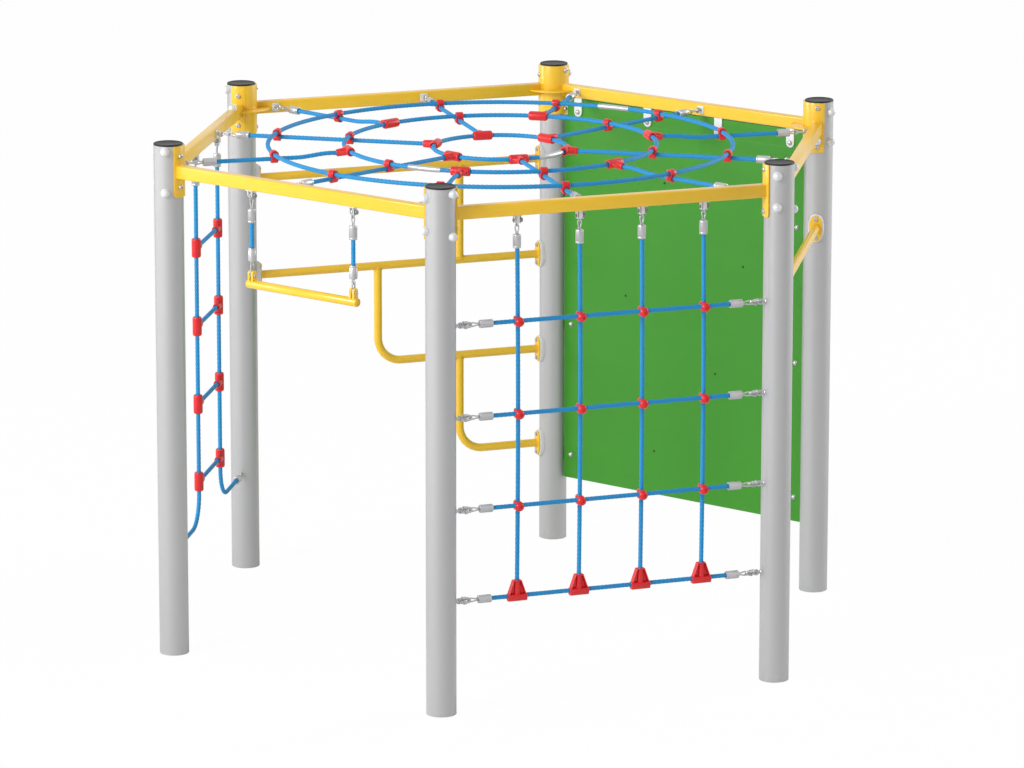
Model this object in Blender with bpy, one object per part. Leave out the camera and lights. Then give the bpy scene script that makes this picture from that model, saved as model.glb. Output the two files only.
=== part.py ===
"""Hexagonal climbing frame: six posts, six beams, a roof net, a side net, a rope ladder, a trapeze,
a pipe frame, a cross bar and a climbing wall.

Metres, +Z up. The origin is on the ground, at the middle of the hexagon.
Side k runs from post k to post k + 1, anticlockwise seen from above.
"""

import math

import bmesh
import bpy
from mathutils import Matrix, Vector

# Frame
SIDE = 1.360            # distance between the axes of neighbouring posts
FIRST_POST_ANGLE = 180.0
GAP = 0.0003            # left between pieces that touch
LINK_GAP = 0.0005       # left between links that hang in each other

# Posts and caps
POST_R = 0.05715
POST_WALL = 0.004
FOOT_T = 0.006
DRAIN_R = 0.012
CAP_RIM_T = 0.006
CAP_PLUG_L = 0.022
CAP_PLUG_PLAY = 0.0005

# Beams with saddle plates, and the corner plates between them
BEAM_Z = 1.916
BEAM_H = 0.050
BEAM_W = 0.040
BEAM_CORNER = 0.004
SADDLE_T = 0.006
SADDLE_H = 0.200
SADDLE_HALF_ANGLE = 27.0
CORNER_HALF_ANGLE = 32.5
GUSSET_R = 0.114
GUSSET_T = 0.006

# Ropes and their fittings
ROPE_R = 0.008
BORE_PLAY = 0.0004
FERRULE_R = 0.0145
FERRULE_L = 0.056
FERRULE_EDGE = 0.002
LINK_R = 0.0075         # half the width of a link's centre line
LINK_CORNER = 0.58      # start of a link's cut corners, as a share of that half width
LINK_TIP_HALF = 0.42
LINK_WIRE = 0.003
EYE_R = 0.009
EYE_WIRE = 0.0035
EYE_SHANK = 0.009       # from the surface to the eye's ring
EYE_SHANK_R = 0.0043
LINK_BITE = 0.006       # how far a bow's legs reach into a ferrule
FUSED = 0.001           # overlap of the links of a chain that is one piece
SHORT_REACH = 0.065     # from the surface to the ferrule, with one link
LONG_REACH = 0.086      # the same with two links
SPOKE_REACH = 0.085     # a spoke has one long link

# Hanger brackets under the beams
PIN_DROP = 0.021        # from the beam's underside to the pin's axis
PIN_R = 0.004
CHEEK_T = 0.005
CHEEK_R = 0.010
CHEEK_GAP = 0.018
TOP_LINK_L = 0.030
HANG_FERRULE_Z = 1.8165

# Roof net
SPOKE_COUNT = 12
FIRST_SPOKE_ANGLE = 115.0
SPOKE_Z = BEAM_Z
RING_LIFT = 0.0170
OUTER_RING_R = 0.910
MIDDLE_RING_R = 0.612
INNER_RING_R = 0.262
CLIP_R = 0.0165
CLIP_L = 0.030
TEE_R = 0.018
TEE_L = 0.076
TEE_BOSS_R = 0.014
TEE_BOSS_L = 0.050      # from the sleeve's axis
SOCKET_FLOOR = 0.012    # from the sleeve's axis to the bottom of the socket
CRIMP_R = 0.0105
CRIMP_L = 0.140
CRIMP_ANGLES = {"outer": 39.0, "middle": 221.0, "inner": 299.0}

# Side net, on side 2
NET_COLUMNS = 4
NET_SPACING = 0.250
NET_BOTTOM_Z = 0.428
NET_ROW_STEP = 0.354
NET_ROWS = 3            # rows with ball clamps, above the bottom row
BALL_R = 0.020
CONE_BASE_W = 0.075
CONE_TOP_W = 0.031
CONE_SKIRT_H = 0.028
CONE_H = 0.0815
CONE_DROP = 0.0195      # from the lowest rope's axis to the cone's foot
CONE_DEPTH = 0.034

# Rope ladder, on side 6
LADDER_WIDTH = 0.403
RUNG_TOP_Z = 1.515
RUNG_STEP = 0.315
RUNG_COUNT = 4
LADDER_END_Z = 0.400
LADDER_BEND_R = 0.120

# Trapeze, on side 1
TRAPEZE_WIDTH = 0.508
TRAPEZE_LOW_FERRULE_Z = 1.6665     # top of the lower ferrule
TRAPEZE_EYE_L = 0.0163
TRAPEZE_LUG_Z = 1.5605
TRAPEZE_BAR_Z = 1.5255
TRAPEZE_BAR_L = 0.550
LUG_T = 0.004
LUG_R = 0.012
LUG_GAP = 0.016

# Pipe frame on side 5 and cross bar on side 3
PIPE_R = 0.01685
PIPE_BEND_R = 0.100
BAR_LOW_Z = 0.412
BAR_STEP = 0.4042
UPRIGHT_X = 0.417       # from the axis of post 5
BENT_X = 0.776
CROSS_BAR_Z = 1.510
FLANGE_W = 0.053
FLANGE_H = 0.104
FLANGE_T = 0.006
PAD_W = 0.065
PAD_H = 0.122
PAD_FACE = 0.010        # from the post's surface to the pad's flat face

# Climbing wall, on side 4
WALL_EDGE_GAP = 0.005   # from a post's surface to the wall's edge
WALL_TOP_GAP = 0.006
WALL_NOTCH = 0.014      # width of the notches that clear the beam's saddle plates
WALL_BOTTOM_Z = 0.275
WALL_T = 0.018
WALL_BEVEL = 0.003
TAB_W = 0.039
TAB_T = 0.005
TAB_DROP = 0.080
TAB_FACE_Y = 0.010      # inner face, from the plane of the post axes
TAB_PITCH = 0.363
WALL_LUG_REACH = 0.0375   # from the wall's edge to the middle of a lug's round end
WALL_LUG_LOW_Z = 0.370
WALL_LUG_STEP = 0.5585
LUG_PLATE_H = 0.050
LUG_PLATE_T = 0.005
HOLD_SPOTS = ((0.586, 1.5865), (0.992, 1.290), (0.387, 1.089), (0.854, 0.825), (0.541, 0.4525))
HOLD_W = 0.115
HOLD_H = 0.080
HOLD_DEPTH = 0.045

# Smoothness
POST_STEPS = 16
BITE_STEPS = 12
TURN_STEPS = 8
SMALL_STEPS = 6
EYE_POINTS = 6
RING_POINTS = {"outer": 24, "middle": 24, "inner": 12}

# Sizes that follow from the ones above
POST_H = BEAM_Z + SADDLE_H / 2
BEAM_BOTTOM = BEAM_Z - BEAM_H / 2
PIN_Z = BEAM_BOTTOM - PIN_DROP
RING_Z = SPOKE_Z + RING_LIFT
SADDLE_IN_R = POST_R + GAP
SADDLE_OUT_R = SADDLE_IN_R + SADDLE_T
TOP_LINK_Z = PIN_Z + PIN_R + LINK_GAP + LINK_WIRE
TOP_LINK_END_Z = TOP_LINK_Z - TOP_LINK_L
PAD_OUT = POST_R + PAD_FACE
FLANGE_IN = PAD_OUT + GAP
FLANGE_OUT = FLANGE_IN + FLANGE_T
WALL_IN_Y = TAB_FACE_Y - TAB_T - GAP
WALL_OUT_Y = WALL_IN_Y - WALL_T
WALL_START = POST_R + WALL_EDGE_GAP
WALL_TOP_Z = BEAM_BOTTOM - WALL_TOP_GAP
CROSSING = ROPE_R + LINK_GAP / 2      # offset of each rope where two ropes cross

X = Vector((1, 0, 0))
Y = Vector((0, 1, 0))
Z = Vector((0, 0, 1))


def clear_scene():
    for item in list(bpy.data.objects):
        bpy.data.objects.remove(item, do_unlink=True)


def make_material(name, colour, roughness, metallic=0.0):
    result = bpy.data.materials.new(name)
    result.use_nodes = True
    shader = result.node_tree.nodes["Principled BSDF"]
    shader.inputs["Base Color"].default_value = (*colour, 1.0)
    shader.inputs["Roughness"].default_value = roughness
    shader.inputs["Metallic"].default_value = metallic
    return result


def post_place(number):
    """Ground point of a post, numbered from 1."""
    angle = math.radians(FIRST_POST_ANGLE + 60 * (number - 1))
    return Vector((SIDE * math.cos(angle), SIDE * math.sin(angle), 0))


def axes_matrix(origin, x_axis, y_axis, z_axis):
    turn = Matrix((x_axis, y_axis, z_axis)).transposed().to_4x4()
    return Matrix.Translation(origin) @ turn


def side_frame(number):
    """X along the side from its first post, Y to the middle of the hexagon, Z up."""
    start = post_place(number)
    along = (post_place(number + 1) - start).normalized()
    return axes_matrix(start, along, Z.cross(along), Z)


def post_frame(number):
    """X from the post to the middle of the hexagon, Z up."""
    start = post_place(number)
    inward = -start.normalized()
    return axes_matrix(start, inward, Z.cross(inward), Z)


def pointing(origin, direction, spin_from=Z):
    """A matrix whose Z axis points along the direction."""
    z_axis = direction.normalized()
    x_axis = spin_from.cross(z_axis)
    if x_axis.length < 1e-4:
        x_axis = X.cross(z_axis)
    x_axis.normalize()
    return axes_matrix(origin, x_axis, z_axis.cross(x_axis), z_axis)


def radial(angle):
    return Vector((math.cos(math.radians(angle)), math.sin(math.radians(angle)), 0))


def link_object(name, mesh):
    result = bpy.data.objects.new(name, mesh)
    bpy.context.scene.collection.objects.link(result)
    return result


def from_bmesh(bm, place=None):
    bmesh.ops.remove_doubles(bm, verts=bm.verts, dist=1e-6)
    bmesh.ops.recalc_face_normals(bm, faces=bm.faces)
    mesh = bpy.data.meshes.new("piece")
    bm.to_mesh(mesh)
    bm.free()
    if place is not None:
        mesh.transform(place)
    return link_object("piece", mesh)


def turned(profile, place, steps=TURN_STEPS, hollow=False):
    """A profile of (radius, height) points spun round the Z axis; a hollow one joins its ends."""
    bm = bmesh.new()
    verts = [bm.verts.new((radius, 0, height)) for radius, height in profile]
    edges = [bm.edges.new(pair) for pair in zip(verts, verts[1:])]
    if hollow:
        edges.append(bm.edges.new((verts[-1], verts[0])))
    bmesh.ops.spin(bm, geom=verts + edges, cent=(0, 0, 0), axis=(0, 0, 1),
                   angle=math.tau, steps=steps)
    return from_bmesh(bm, place)


def rod(start, end, radius, steps=TURN_STEPS):
    length = (end - start).length
    profile = [(0, 0), (radius, 0), (radius, length), (0, length)]
    return turned(profile, pointing(start, end - start), steps)


def prism(outline, low, high, place):
    """An outline of (x, y) points extruded from low to high along Z."""
    bm = bmesh.new()
    base = bm.faces.new([bm.verts.new((x, y, low)) for x, y in outline])
    grown = bmesh.ops.extrude_face_region(bm, geom=[base])["geom"]
    top = [item for item in grown if isinstance(item, bmesh.types.BMVert)]
    bmesh.ops.translate(bm, verts=top, vec=(0, 0, high - low))
    return from_bmesh(bm, place)


def arc(centre, radius, start, end, steps):
    """Points on an arc in the plane, with the angles in degrees."""
    points = []
    for step in range(steps + 1):
        angle = math.radians(start + (end - start) * step / steps)
        points.append((centre[0] + radius * math.cos(angle), centre[1] + radius * math.sin(angle)))
    return points


def oval(width, height, steps=5):
    """Upright outline with round ends, in (x, y)."""
    radius = width / 2
    offset = height / 2 - radius
    return arc((0, offset), radius, 0, 180, steps) + arc((0, -offset), radius, 180, 360, steps)


def round_rectangle(width, height, corner, steps=1):
    half_w = width / 2 - corner
    half_h = height / 2 - corner
    points = []
    for index, (sx, sy) in enumerate(((1, 1), (-1, 1), (-1, -1), (1, -1))):
        points += arc((sx * half_w, sy * half_h), corner, 90 * index, 90 * index + 90, steps)
    return points


def band(inner_r, outer_r, start, end, low, high, place, steps=4):
    """A curved plate round the Z axis, whose inner flats touch the inner radius."""
    bore_r = inner_r / math.cos(math.radians(end - start) / steps / 2)
    outline = arc((0, 0), outer_r, start, end, steps) + arc((0, 0), bore_r, end, start, steps)
    return prism(outline, low, high, place)


def tube(points, radius, level=1, closed=False):
    """A round bar along the points, with 4 + 2 * level sides."""
    curve = bpy.data.curves.new("route", "CURVE")
    curve.dimensions = "3D"
    curve.bevel_depth = radius
    curve.bevel_resolution = level
    curve.use_fill_caps = True
    spline = curve.splines.new("POLY")
    spline.points.add(len(points) - 1)
    for slot, point in zip(spline.points, points):
        slot.co = (*point, 1.0)
    spline.use_cyclic_u = closed
    route = link_object("route", curve)
    bpy.context.view_layer.update()
    mesh = bpy.data.meshes.new_from_object(route.evaluated_get(bpy.context.evaluated_depsgraph_get()))
    bpy.data.objects.remove(route, do_unlink=True)
    bm = bmesh.new()
    bm.from_mesh(mesh)
    return from_bmesh(bm)


def long_link(start, end, hole_axis):
    """A link with cut corners; start and end are the tips of its centre line."""
    run = (end - start).normalized()
    across = hole_axis.cross(run)
    points = []
    for tip, sign in ((start, 1), (end, -1)):
        for side, back in ((1, LINK_CORNER), (LINK_TIP_HALF, 0), (-LINK_TIP_HALF, 0), (-1, LINK_CORNER)):
            points.append(tip + (across * side + run * back) * sign * LINK_R)
    return tube(points, LINK_WIRE, level=0, closed=True)


def bow(tip, root, hole_axis):
    """A link whose legs end inside a ferrule; the tip is its centre line's, the root the ferrule's end."""
    run = (root - tip).normalized()
    across = hole_axis.cross(run)
    corners = ((1, LINK_CORNER), (LINK_TIP_HALF, 0), (-LINK_TIP_HALF, 0), (-1, LINK_CORNER))
    points = [tip + (across * side + run * back) * LINK_R for side, back in corners]
    points += [root + run * LINK_BITE + across * side * LINK_R for side in (-1, 1)]
    return tube(points, LINK_WIRE, level=0, closed=True)


def eye_bolt(surface, direction, hole_axis):
    """An eye on a short shank that starts just inside the surface."""
    across = hole_axis.cross(direction)
    centre = surface + direction * (EYE_SHANK + EYE_R)
    points = []
    for step in range(EYE_POINTS):
        angle = math.tau * step / EYE_POINTS
        points.append(centre + (direction * math.cos(angle) + across * math.sin(angle)) * EYE_R)
    ring = tube(points, EYE_WIRE, level=0, closed=True)
    shank = rod(surface - direction * 0.003, surface + direction * (EYE_SHANK + 0.001), EYE_SHANK_R, 4)
    return [ring, shank]


def ferrule(start, direction):
    edge = FERRULE_EDGE
    profile = [(0, 0), (FERRULE_R - edge, 0), (FERRULE_R, edge), (FERRULE_R, FERRULE_L), (0, FERRULE_L)]
    return turned(profile, pointing(start, direction), SMALL_STEPS)


def rope_end(surface, direction, hole_axis, reach=SHORT_REACH):
    """The links and ferrule of a rope whose eye bolt stands on the surface.

    The direction is the way the rope goes. The link's hole axis is square to the eye's.
    """
    first = EYE_SHANK + 2 * EYE_R - EYE_WIRE - LINK_GAP - LINK_WIRE
    pieces = [ferrule(surface + direction * reach, direction)]
    root = surface + direction * reach
    if reach < LONG_REACH:
        pieces.append(bow(surface + direction * first, root, hole_axis))
        return pieces
    meeting = (first + reach) / 2 + FUSED
    pieces.append(long_link(surface + direction * first,
                            surface + direction * (meeting + LINK_WIRE), hole_axis))
    pieces.append(bow(surface + direction * (meeting - LINK_WIRE + FUSED), root, direction.cross(hole_axis)))
    return pieces


def set_as_one(name, parts, finish, cutters=()):
    """Joins overlapping solids into one body, then cuts it with the cutters."""
    body = parts[0]
    for label, operation, tools in (("join", "UNION", parts[1:]), ("cut", "DIFFERENCE", cutters)):
        if not tools:
            continue
        group = bpy.data.collections.new(label)
        bpy.context.scene.collection.children.link(group)
        for tool in tools:
            group.objects.link(tool)
        modifier = body.modifiers.new(label, "BOOLEAN")
        modifier.operation = operation
        modifier.operand_type = "COLLECTION"
        modifier.collection = group
        modifier.solver = "EXACT"
    bpy.context.view_layer.update()
    mesh = bpy.data.meshes.new_from_object(body.evaluated_get(bpy.context.evaluated_depsgraph_get()))
    for item in list(parts) + list(cutters):
        bpy.data.objects.remove(item, do_unlink=True)
    for group in list(bpy.data.collections):
        bpy.data.collections.remove(group)
    bm = bmesh.new()
    bm.from_mesh(mesh)
    bmesh.ops.remove_doubles(bm, verts=bm.verts, dist=1e-6)
    bmesh.ops.dissolve_degenerate(bm, edges=bm.edges, dist=1e-6)
    mesh = bpy.data.meshes.new(name)
    bm.to_mesh(mesh)
    bm.free()
    mesh.materials.append(finish)
    mesh.shade_smooth()
    mesh.set_sharp_from_angle(angle=math.radians(35))
    return link_object(name, mesh)


def pad(height, angle, place):
    """A saddle pad with a flat outer face, hollowed to the post's curve."""
    outward = radial(angle)
    plane = place @ axes_matrix(Z * height, Z.cross(outward), Z, outward)
    block = prism(oval(PAD_W, PAD_H), POST_R - 0.016, PAD_OUT, plane)
    bite = rod(place @ Vector((0, 0, height - PAD_H)), place @ Vector((0, 0, height + PAD_H)),
               POST_R - POST_WALL / 2, BITE_STEPS)
    return set_as_one("pad", [block], MATERIALS["steel"], [bite])


def bar_heights():
    """Heights of the pipe frame's level runs, from the lowest up."""
    return [BAR_LOW_Z + BAR_STEP * step for step in range(4)]


def wall_lug_heights():
    return [WALL_LUG_LOW_Z + WALL_LUG_STEP * step for step in range(3)]


def net_rows():
    """Heights of the side net's cross ropes, from the bottom up."""
    return [NET_BOTTOM_Z + NET_ROW_STEP * step for step in range(NET_ROWS + 1)]


def net_row_y(row):
    """The bottom rope runs through the cones, in line with the upright ropes."""
    return CROSSING if row == 0 else -CROSSING


def rope_anchors(number):
    """Where rope eyes stand on a post: (side, x on that side, direction, y, z)."""
    anchors = []
    if number == 2:
        anchors += [(2, 0.0, 1, net_row_y(row), z) for row, z in enumerate(net_rows())]
    if number == 3:
        anchors += [(2, SIDE, -1, net_row_y(row), z) for row, z in enumerate(net_rows())]
    if number == 6:
        anchors.append((6, 0.0, 1, 0.0, LADDER_END_Z))
    if number == 1:
        anchors.append((6, SIDE, -1, 0.0, LADDER_END_Z))
    return anchors


def post_surface(side, x, way, y, z):
    """The point on a post's surface where an eye bolt leaves it, and the bolt's direction."""
    frame = side_frame(side)
    depth = math.sqrt(POST_R ** 2 - y ** 2)
    return frame @ Vector((x + way * depth, y, z)), (frame.to_3x3() @ X) * way


def make_post(number):
    place = post_frame(number)
    inner_r = POST_R - POST_WALL
    profile = [(DRAIN_R, 0), (POST_R, 0), (POST_R, POST_H), (inner_r, POST_H), (inner_r, FOOT_T), (DRAIN_R, FOOT_T)]
    parts = [turned(profile, place, POST_STEPS, hollow=True)]
    levels = bar_heights()
    pads = {5: [(z, -60) for z in levels], 6: [(z, 60) for z in levels[2:]],
            3: [(CROSS_BAR_Z, -60)], 4: [(CROSS_BAR_Z, 60)]}
    parts += [pad(z, angle, place) for z, angle in pads.get(number, [])]
    for anchor in rope_anchors(number):
        surface, direction = post_surface(*anchor)
        parts += eye_bolt(surface, direction, direction.cross(Z))
    if number in (4, 5):
        parts += wall_lugs(number)
    return set_as_one(f"post_{number}", parts, MATERIALS["steel"])


def wall_lugs(number):
    """Flat lugs on the posts beside the climbing wall, behind its outer face."""
    frame = side_frame(4)
    mirror = -1 if number == 5 else 1
    start = SIDE if number == 5 else 0.0
    lugs = []
    reach = WALL_START + WALL_LUG_REACH + LUG_PLATE_H / 2
    for height in wall_lug_heights():
        outer_y = WALL_OUT_Y - GAP - LUG_PLATE_T
        ends = (math.sqrt(POST_R ** 2 - outer_y ** 2) - POST_WALL / 2, reach)
        outline = [(start + mirror * x, height + z) for x, z in
                   ((ends[0], -LUG_PLATE_H / 2), (ends[1], -LUG_PLATE_H / 2),
                    (ends[1], LUG_PLATE_H / 2), (ends[0], LUG_PLATE_H / 2))]
        upright = axes_matrix(Vector((0, 0, 0)), X, Z, -Y)
        low = -(WALL_OUT_Y - GAP)
        lugs.append(prism(outline, low, low + LUG_PLATE_T, frame @ upright))
    return lugs


def make_cap(number):
    place = post_frame(number) @ Matrix.Translation((0, 0, POST_H + GAP))
    plug_r = POST_R - POST_WALL - CAP_PLUG_PLAY
    profile = [(0, -CAP_PLUG_L), (plug_r, -CAP_PLUG_L), (plug_r, 0), (POST_R, 0),
               (POST_R, CAP_RIM_T), (0, CAP_RIM_T)]
    return set_as_one(f"cap_{number}", [turned(profile, place, POST_STEPS)], MATERIALS["cap"])


def make_corner_plate(number):
    """The collar on the post's inner side, with a level gusset between the two beams."""
    place = post_frame(number)
    low = BEAM_Z - SADDLE_H / 2
    collar = band(SADDLE_IN_R, SADDLE_OUT_R, -CORNER_HALF_ANGLE, CORNER_HALF_ANGLE, low, low + SADDLE_H, place)
    clear = BEAM_W / 2 + GAP
    root_r = SADDLE_OUT_R + GAP
    root_angle = 60 - math.degrees(math.asin(clear / root_r))
    rim_angle = 60 - math.degrees(math.asin(clear / GUSSET_R))
    inner = CORNER_HALF_ANGLE - 1
    outline = (arc((0, 0), GUSSET_R, -rim_angle, rim_angle, 6)
               + arc((0, 0), root_r, root_angle, inner, 1)
               + arc((0, 0), SADDLE_OUT_R - SADDLE_T / 2, inner, -inner, 4)
               + arc((0, 0), root_r, -inner, -root_angle, 1))
    gusset = prism(outline, BEAM_Z - GUSSET_T / 2, BEAM_Z + GUSSET_T / 2, place)
    return set_as_one(f"corner_plate_{number}", [collar, gusset], MATERIALS["yellow"])


def saddle(number, mirror):
    """A beam's saddle plate at its first post, or with mirror at its last one."""
    middle = 180 if mirror else 0
    low = BEAM_Z - SADDLE_H / 2
    place = side_frame(number) @ Matrix.Translation((SIDE if mirror else 0.0, 0, 0))
    return band(SADDLE_IN_R, SADDLE_OUT_R, middle - SADDLE_HALF_ANGLE, middle + SADDLE_HALF_ANGLE,
                low, low + SADDLE_H, place)


def hanger(number, x, y):
    """A bracket with a pin along the beam, under the beam of a side."""
    frame = side_frame(number)
    parts = []
    for sign in (-1, 1):
        face = x + sign * (CHEEK_GAP / 2 + CHEEK_T / 2)
        outline = arc((0, 0), CHEEK_R, 180, 360, 3) + [(CHEEK_R, PIN_DROP + 0.002), (-CHEEK_R, PIN_DROP + 0.002)]
        stand = frame @ axes_matrix(Vector((face, y, PIN_Z)), Y, Z, X)
        parts.append(prism(outline, -CHEEK_T / 2, CHEEK_T / 2, stand))
    half = CHEEK_GAP / 2 + CHEEK_T
    tip = half + 0.001
    parts.append(rod(frame @ Vector((x - tip, y, PIN_Z)), frame @ Vector((x + tip, y, PIN_Z)), PIN_R, SMALL_STEPS))
    return parts


def hung_ropes():
    """Where ropes hang under the beams: (side, x, y)."""
    middle = SIDE / 2
    spots = [(1, middle + sign * TRAPEZE_WIDTH / 2, 0.0) for sign in (-1, 1)]
    spots += [(2, x, CROSSING) for x in net_columns()]
    spots += [(6, middle + sign * LADDER_WIDTH / 2, 0.0) for sign in (-1, 1)]
    return spots


def net_columns():
    first = SIDE / 2 - NET_SPACING * (NET_COLUMNS - 1) / 2
    return [first + NET_SPACING * column for column in range(NET_COLUMNS)]


def spoke_angle(number):
    return FIRST_SPOKE_ANGLE + (number - 1) * 360 / SPOKE_COUNT


def spoke_surface(number):
    """Where a spoke meets the inner face of its beam, with the way out from the middle."""
    outward = radial(spoke_angle(number))
    for side in range(1, 7):
        frame = side_frame(side)
        inward = frame.to_3x3() @ Y
        if outward.dot(-inward) > math.cos(math.radians(30)):
            distance = (SIDE * math.cos(math.radians(30)) - BEAM_W / 2) / outward.dot(-inward)
            return side, outward * distance + Z * SPOKE_Z, outward
    raise ValueError("no beam for this spoke")


def make_beam(number):
    frame = side_frame(number)
    ends = SADDLE_OUT_R - SADDLE_T / 2
    lengthwise = frame @ axes_matrix(Vector((0, 0, BEAM_Z)), Y, Z, X)
    parts = [prism(round_rectangle(BEAM_W, BEAM_H, BEAM_CORNER), ends, SIDE - ends, lengthwise)]
    parts += [saddle(number, False), saddle(number, True)]
    for side, x, y in hung_ropes():
        if side == number:
            parts += hanger(side, x, y)
    for spoke in range(1, SPOKE_COUNT + 1):
        side, surface, outward = spoke_surface(spoke)
        if side == number:
            parts += eye_bolt(surface, -outward, outward.cross(Z))
    if number == 4:
        parts += wall_tabs(frame)
    return set_as_one(f"beam_{number}", parts, MATERIALS["yellow"])


def tab_places():
    return [SIDE / 2 + TAB_PITCH * step for step in (-1.5, -0.5, 0.5, 1.5)]


def wall_tabs(frame):
    """Round-ended tabs under the beam, which hold the climbing wall's upper edge."""
    tabs = []
    for x in tab_places():
        radius = TAB_W / 2
        top = TAB_DROP + 0.003
        outline = arc((0, 0), radius, 180, 360, 5) + [(radius, top - radius), (-radius, top - radius)]
        stand = frame @ axes_matrix(Vector((x, 0, BEAM_BOTTOM - TAB_DROP + radius)), X, Z, -Y)
        tabs.append(prism(outline, -TAB_FACE_Y, -TAB_FACE_Y + TAB_T, stand))
    return tabs


def make_wall():
    """The climbing wall's panel with its holds on the outer face."""
    frame = side_frame(4)
    upright = frame @ axes_matrix(Vector((0, 0, 0)), X, Z, -Y)
    notch_x = WALL_START + WALL_NOTCH
    notch_z = BEAM_Z - SADDLE_H / 2 - WALL_EDGE_GAP
    outline = [(WALL_START, WALL_BOTTOM_Z), (SIDE - WALL_START, WALL_BOTTOM_Z), (SIDE - WALL_START, notch_z),
               (SIDE - notch_x, notch_z), (SIDE - notch_x, WALL_TOP_Z), (notch_x, WALL_TOP_Z),
               (notch_x, notch_z), (WALL_START, notch_z)]
    panel = prism(outline, -WALL_IN_Y, -WALL_OUT_Y, upright)
    bm = bmesh.new()
    bm.from_mesh(panel.data)
    rim = [edge for edge in bm.edges if (edge.verts[0].co - edge.verts[1].co).length > WALL_T * 1.01]
    bmesh.ops.bevel(bm, geom=rim, offset=WALL_BEVEL, segments=1, affect="EDGES")
    bm.to_mesh(panel.data)
    bm.free()
    parts = [panel]
    outward = frame.to_3x3() @ -Y
    for index, (from_post_5, height) in enumerate(HOLD_SPOTS):
        spot = frame @ Vector((SIDE - from_post_5, WALL_OUT_Y, height))
        profile = [(0, -0.004), (0.5, -0.004), (0.5, 0.012), (0.34, HOLD_DEPTH * 0.8), (0, HOLD_DEPTH)]
        lean = Matrix.Rotation(math.radians(35 * index), 4, "Z")
        squeeze = Matrix.Diagonal((HOLD_W, HOLD_H, 1, 1))
        parts.append(turned(profile, pointing(spot, outward) @ lean @ squeeze, TURN_STEPS))
    return set_as_one("climbing_wall", parts, MATERIALS["green"])


def flange(frame, x, way, height):
    """An oval flange plate at the end of a pipe."""
    facing = frame @ axes_matrix(Vector((x, 0, height)), Y * way, Z, X * way)
    return prism(oval(FLANGE_W, FLANGE_H), FLANGE_IN, FLANGE_OUT, facing)


def pipe(points):
    return tube(points, PIPE_R, level=2)


def bent_route(x, top, level, end_x):
    """A pipe's route down from the top, round a bend and level towards the first post."""
    route = [Vector((x, 0, top))]
    for across, rise in arc((x - PIPE_BEND_R, level + PIPE_BEND_R), PIPE_BEND_R, 0, -90, 5):
        route.append(Vector((across, 0, rise)))
    route.append(Vector((end_x, 0, level)))
    return route


def make_pipe_frame():
    """The welded pipe frame between posts 5 and 6."""
    frame = side_frame(5)
    low, third, second, top = bar_heights()
    start = FLANGE_IN + FLANGE_T / 2
    parts = []
    for height in (top, second):
        parts.append(pipe([frame @ Vector((start, 0, height)), frame @ Vector((SIDE - start, 0, height))]))
        parts += [flange(frame, 0.0, 1, height), flange(frame, SIDE, -1, height)]
    parts.append(pipe([frame @ Vector((UPRIGHT_X, 0, second)), frame @ Vector((UPRIGHT_X, 0, top))]))
    for x, from_z, level in ((BENT_X, second, third), (UPRIGHT_X, third, low)):
        parts.append(pipe([frame @ point for point in bent_route(x, from_z, level, start)]))
        parts.append(flange(frame, 0.0, 1, level))
    return set_as_one("pipe_frame", parts, MATERIALS["yellow"])


def make_cross_bar():
    frame = side_frame(3)
    start = FLANGE_IN + FLANGE_T / 2
    ends = [frame @ Vector((x, 0, CROSS_BAR_Z)) for x in (start, SIDE - start)]
    parts = [pipe(ends), flange(frame, 0.0, 1, CROSS_BAR_Z), flange(frame, SIDE, -1, CROSS_BAR_Z)]
    return set_as_one("cross_bar", parts, MATERIALS["yellow"])


def tee(centre, sleeve_axis, boss_axis):
    """A T-connector: a sleeve along one rope with a boss for the rope that ends in it."""
    half = TEE_L / 2
    parts = [rod(centre - sleeve_axis * half, centre + sleeve_axis * half, TEE_R, SMALL_STEPS)]
    boss = [(0, 0), (TEE_BOSS_R + 0.003, 0), (TEE_BOSS_R, TEE_BOSS_L), (0, TEE_BOSS_L)]
    parts.append(turned(boss, pointing(centre, boss_axis), SMALL_STEPS))
    return parts


def tee_socket(centre, boss_axis):
    return rod(centre + boss_axis * SOCKET_FLOOR, centre + boss_axis * (TEE_BOSS_L + 0.005),
               ROPE_R + BORE_PLAY, SMALL_STEPS)


def make_ring(label, radius, height, clip_spokes, tee_spokes):
    """A ring rope with its clips, T-connectors and crimped sleeve."""
    count = RING_POINTS[label]
    points = [radial(spoke_angle(2) + 360 * step / count) * radius + Z * height for step in range(count)]
    parts = [tube(points, ROPE_R, closed=True)]
    cutters = []
    crimp_angle = CRIMP_ANGLES[label]
    middle = radial(crimp_angle) * radius * math.cos(CRIMP_L / 4 / radius) + Z * height
    along = Z.cross(radial(crimp_angle))
    parts.append(rod(middle - along * CRIMP_L / 2, middle + along * CRIMP_L / 2, CRIMP_R, SMALL_STEPS))
    for spoke in clip_spokes:
        outward = radial(spoke_angle(spoke))
        around = Z.cross(outward)
        middle = outward * radius + Z * (height + SPOKE_Z) / 2
        lower = outward * radius + Z * SPOKE_Z
        stand = axes_matrix(middle, outward, Z, -around)
        parts.append(prism(oval(2 * CLIP_R, 2 * CLIP_R + RING_LIFT, 3), -CLIP_L / 2, CLIP_L / 2, stand))
        cutters.append(rod(lower - outward * CLIP_L, lower + outward * CLIP_L, ROPE_R + BORE_PLAY, SMALL_STEPS))
    for spoke in tee_spokes:
        outward = radial(spoke_angle(spoke))
        centre = outward * radius + Z * height
        parts += tee(centre, Z.cross(outward), outward)
        cutters.append(tee_socket(centre, outward))
    return set_as_one(f"{label}_ring_rope", parts, MATERIALS["rope"], cutters)


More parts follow.
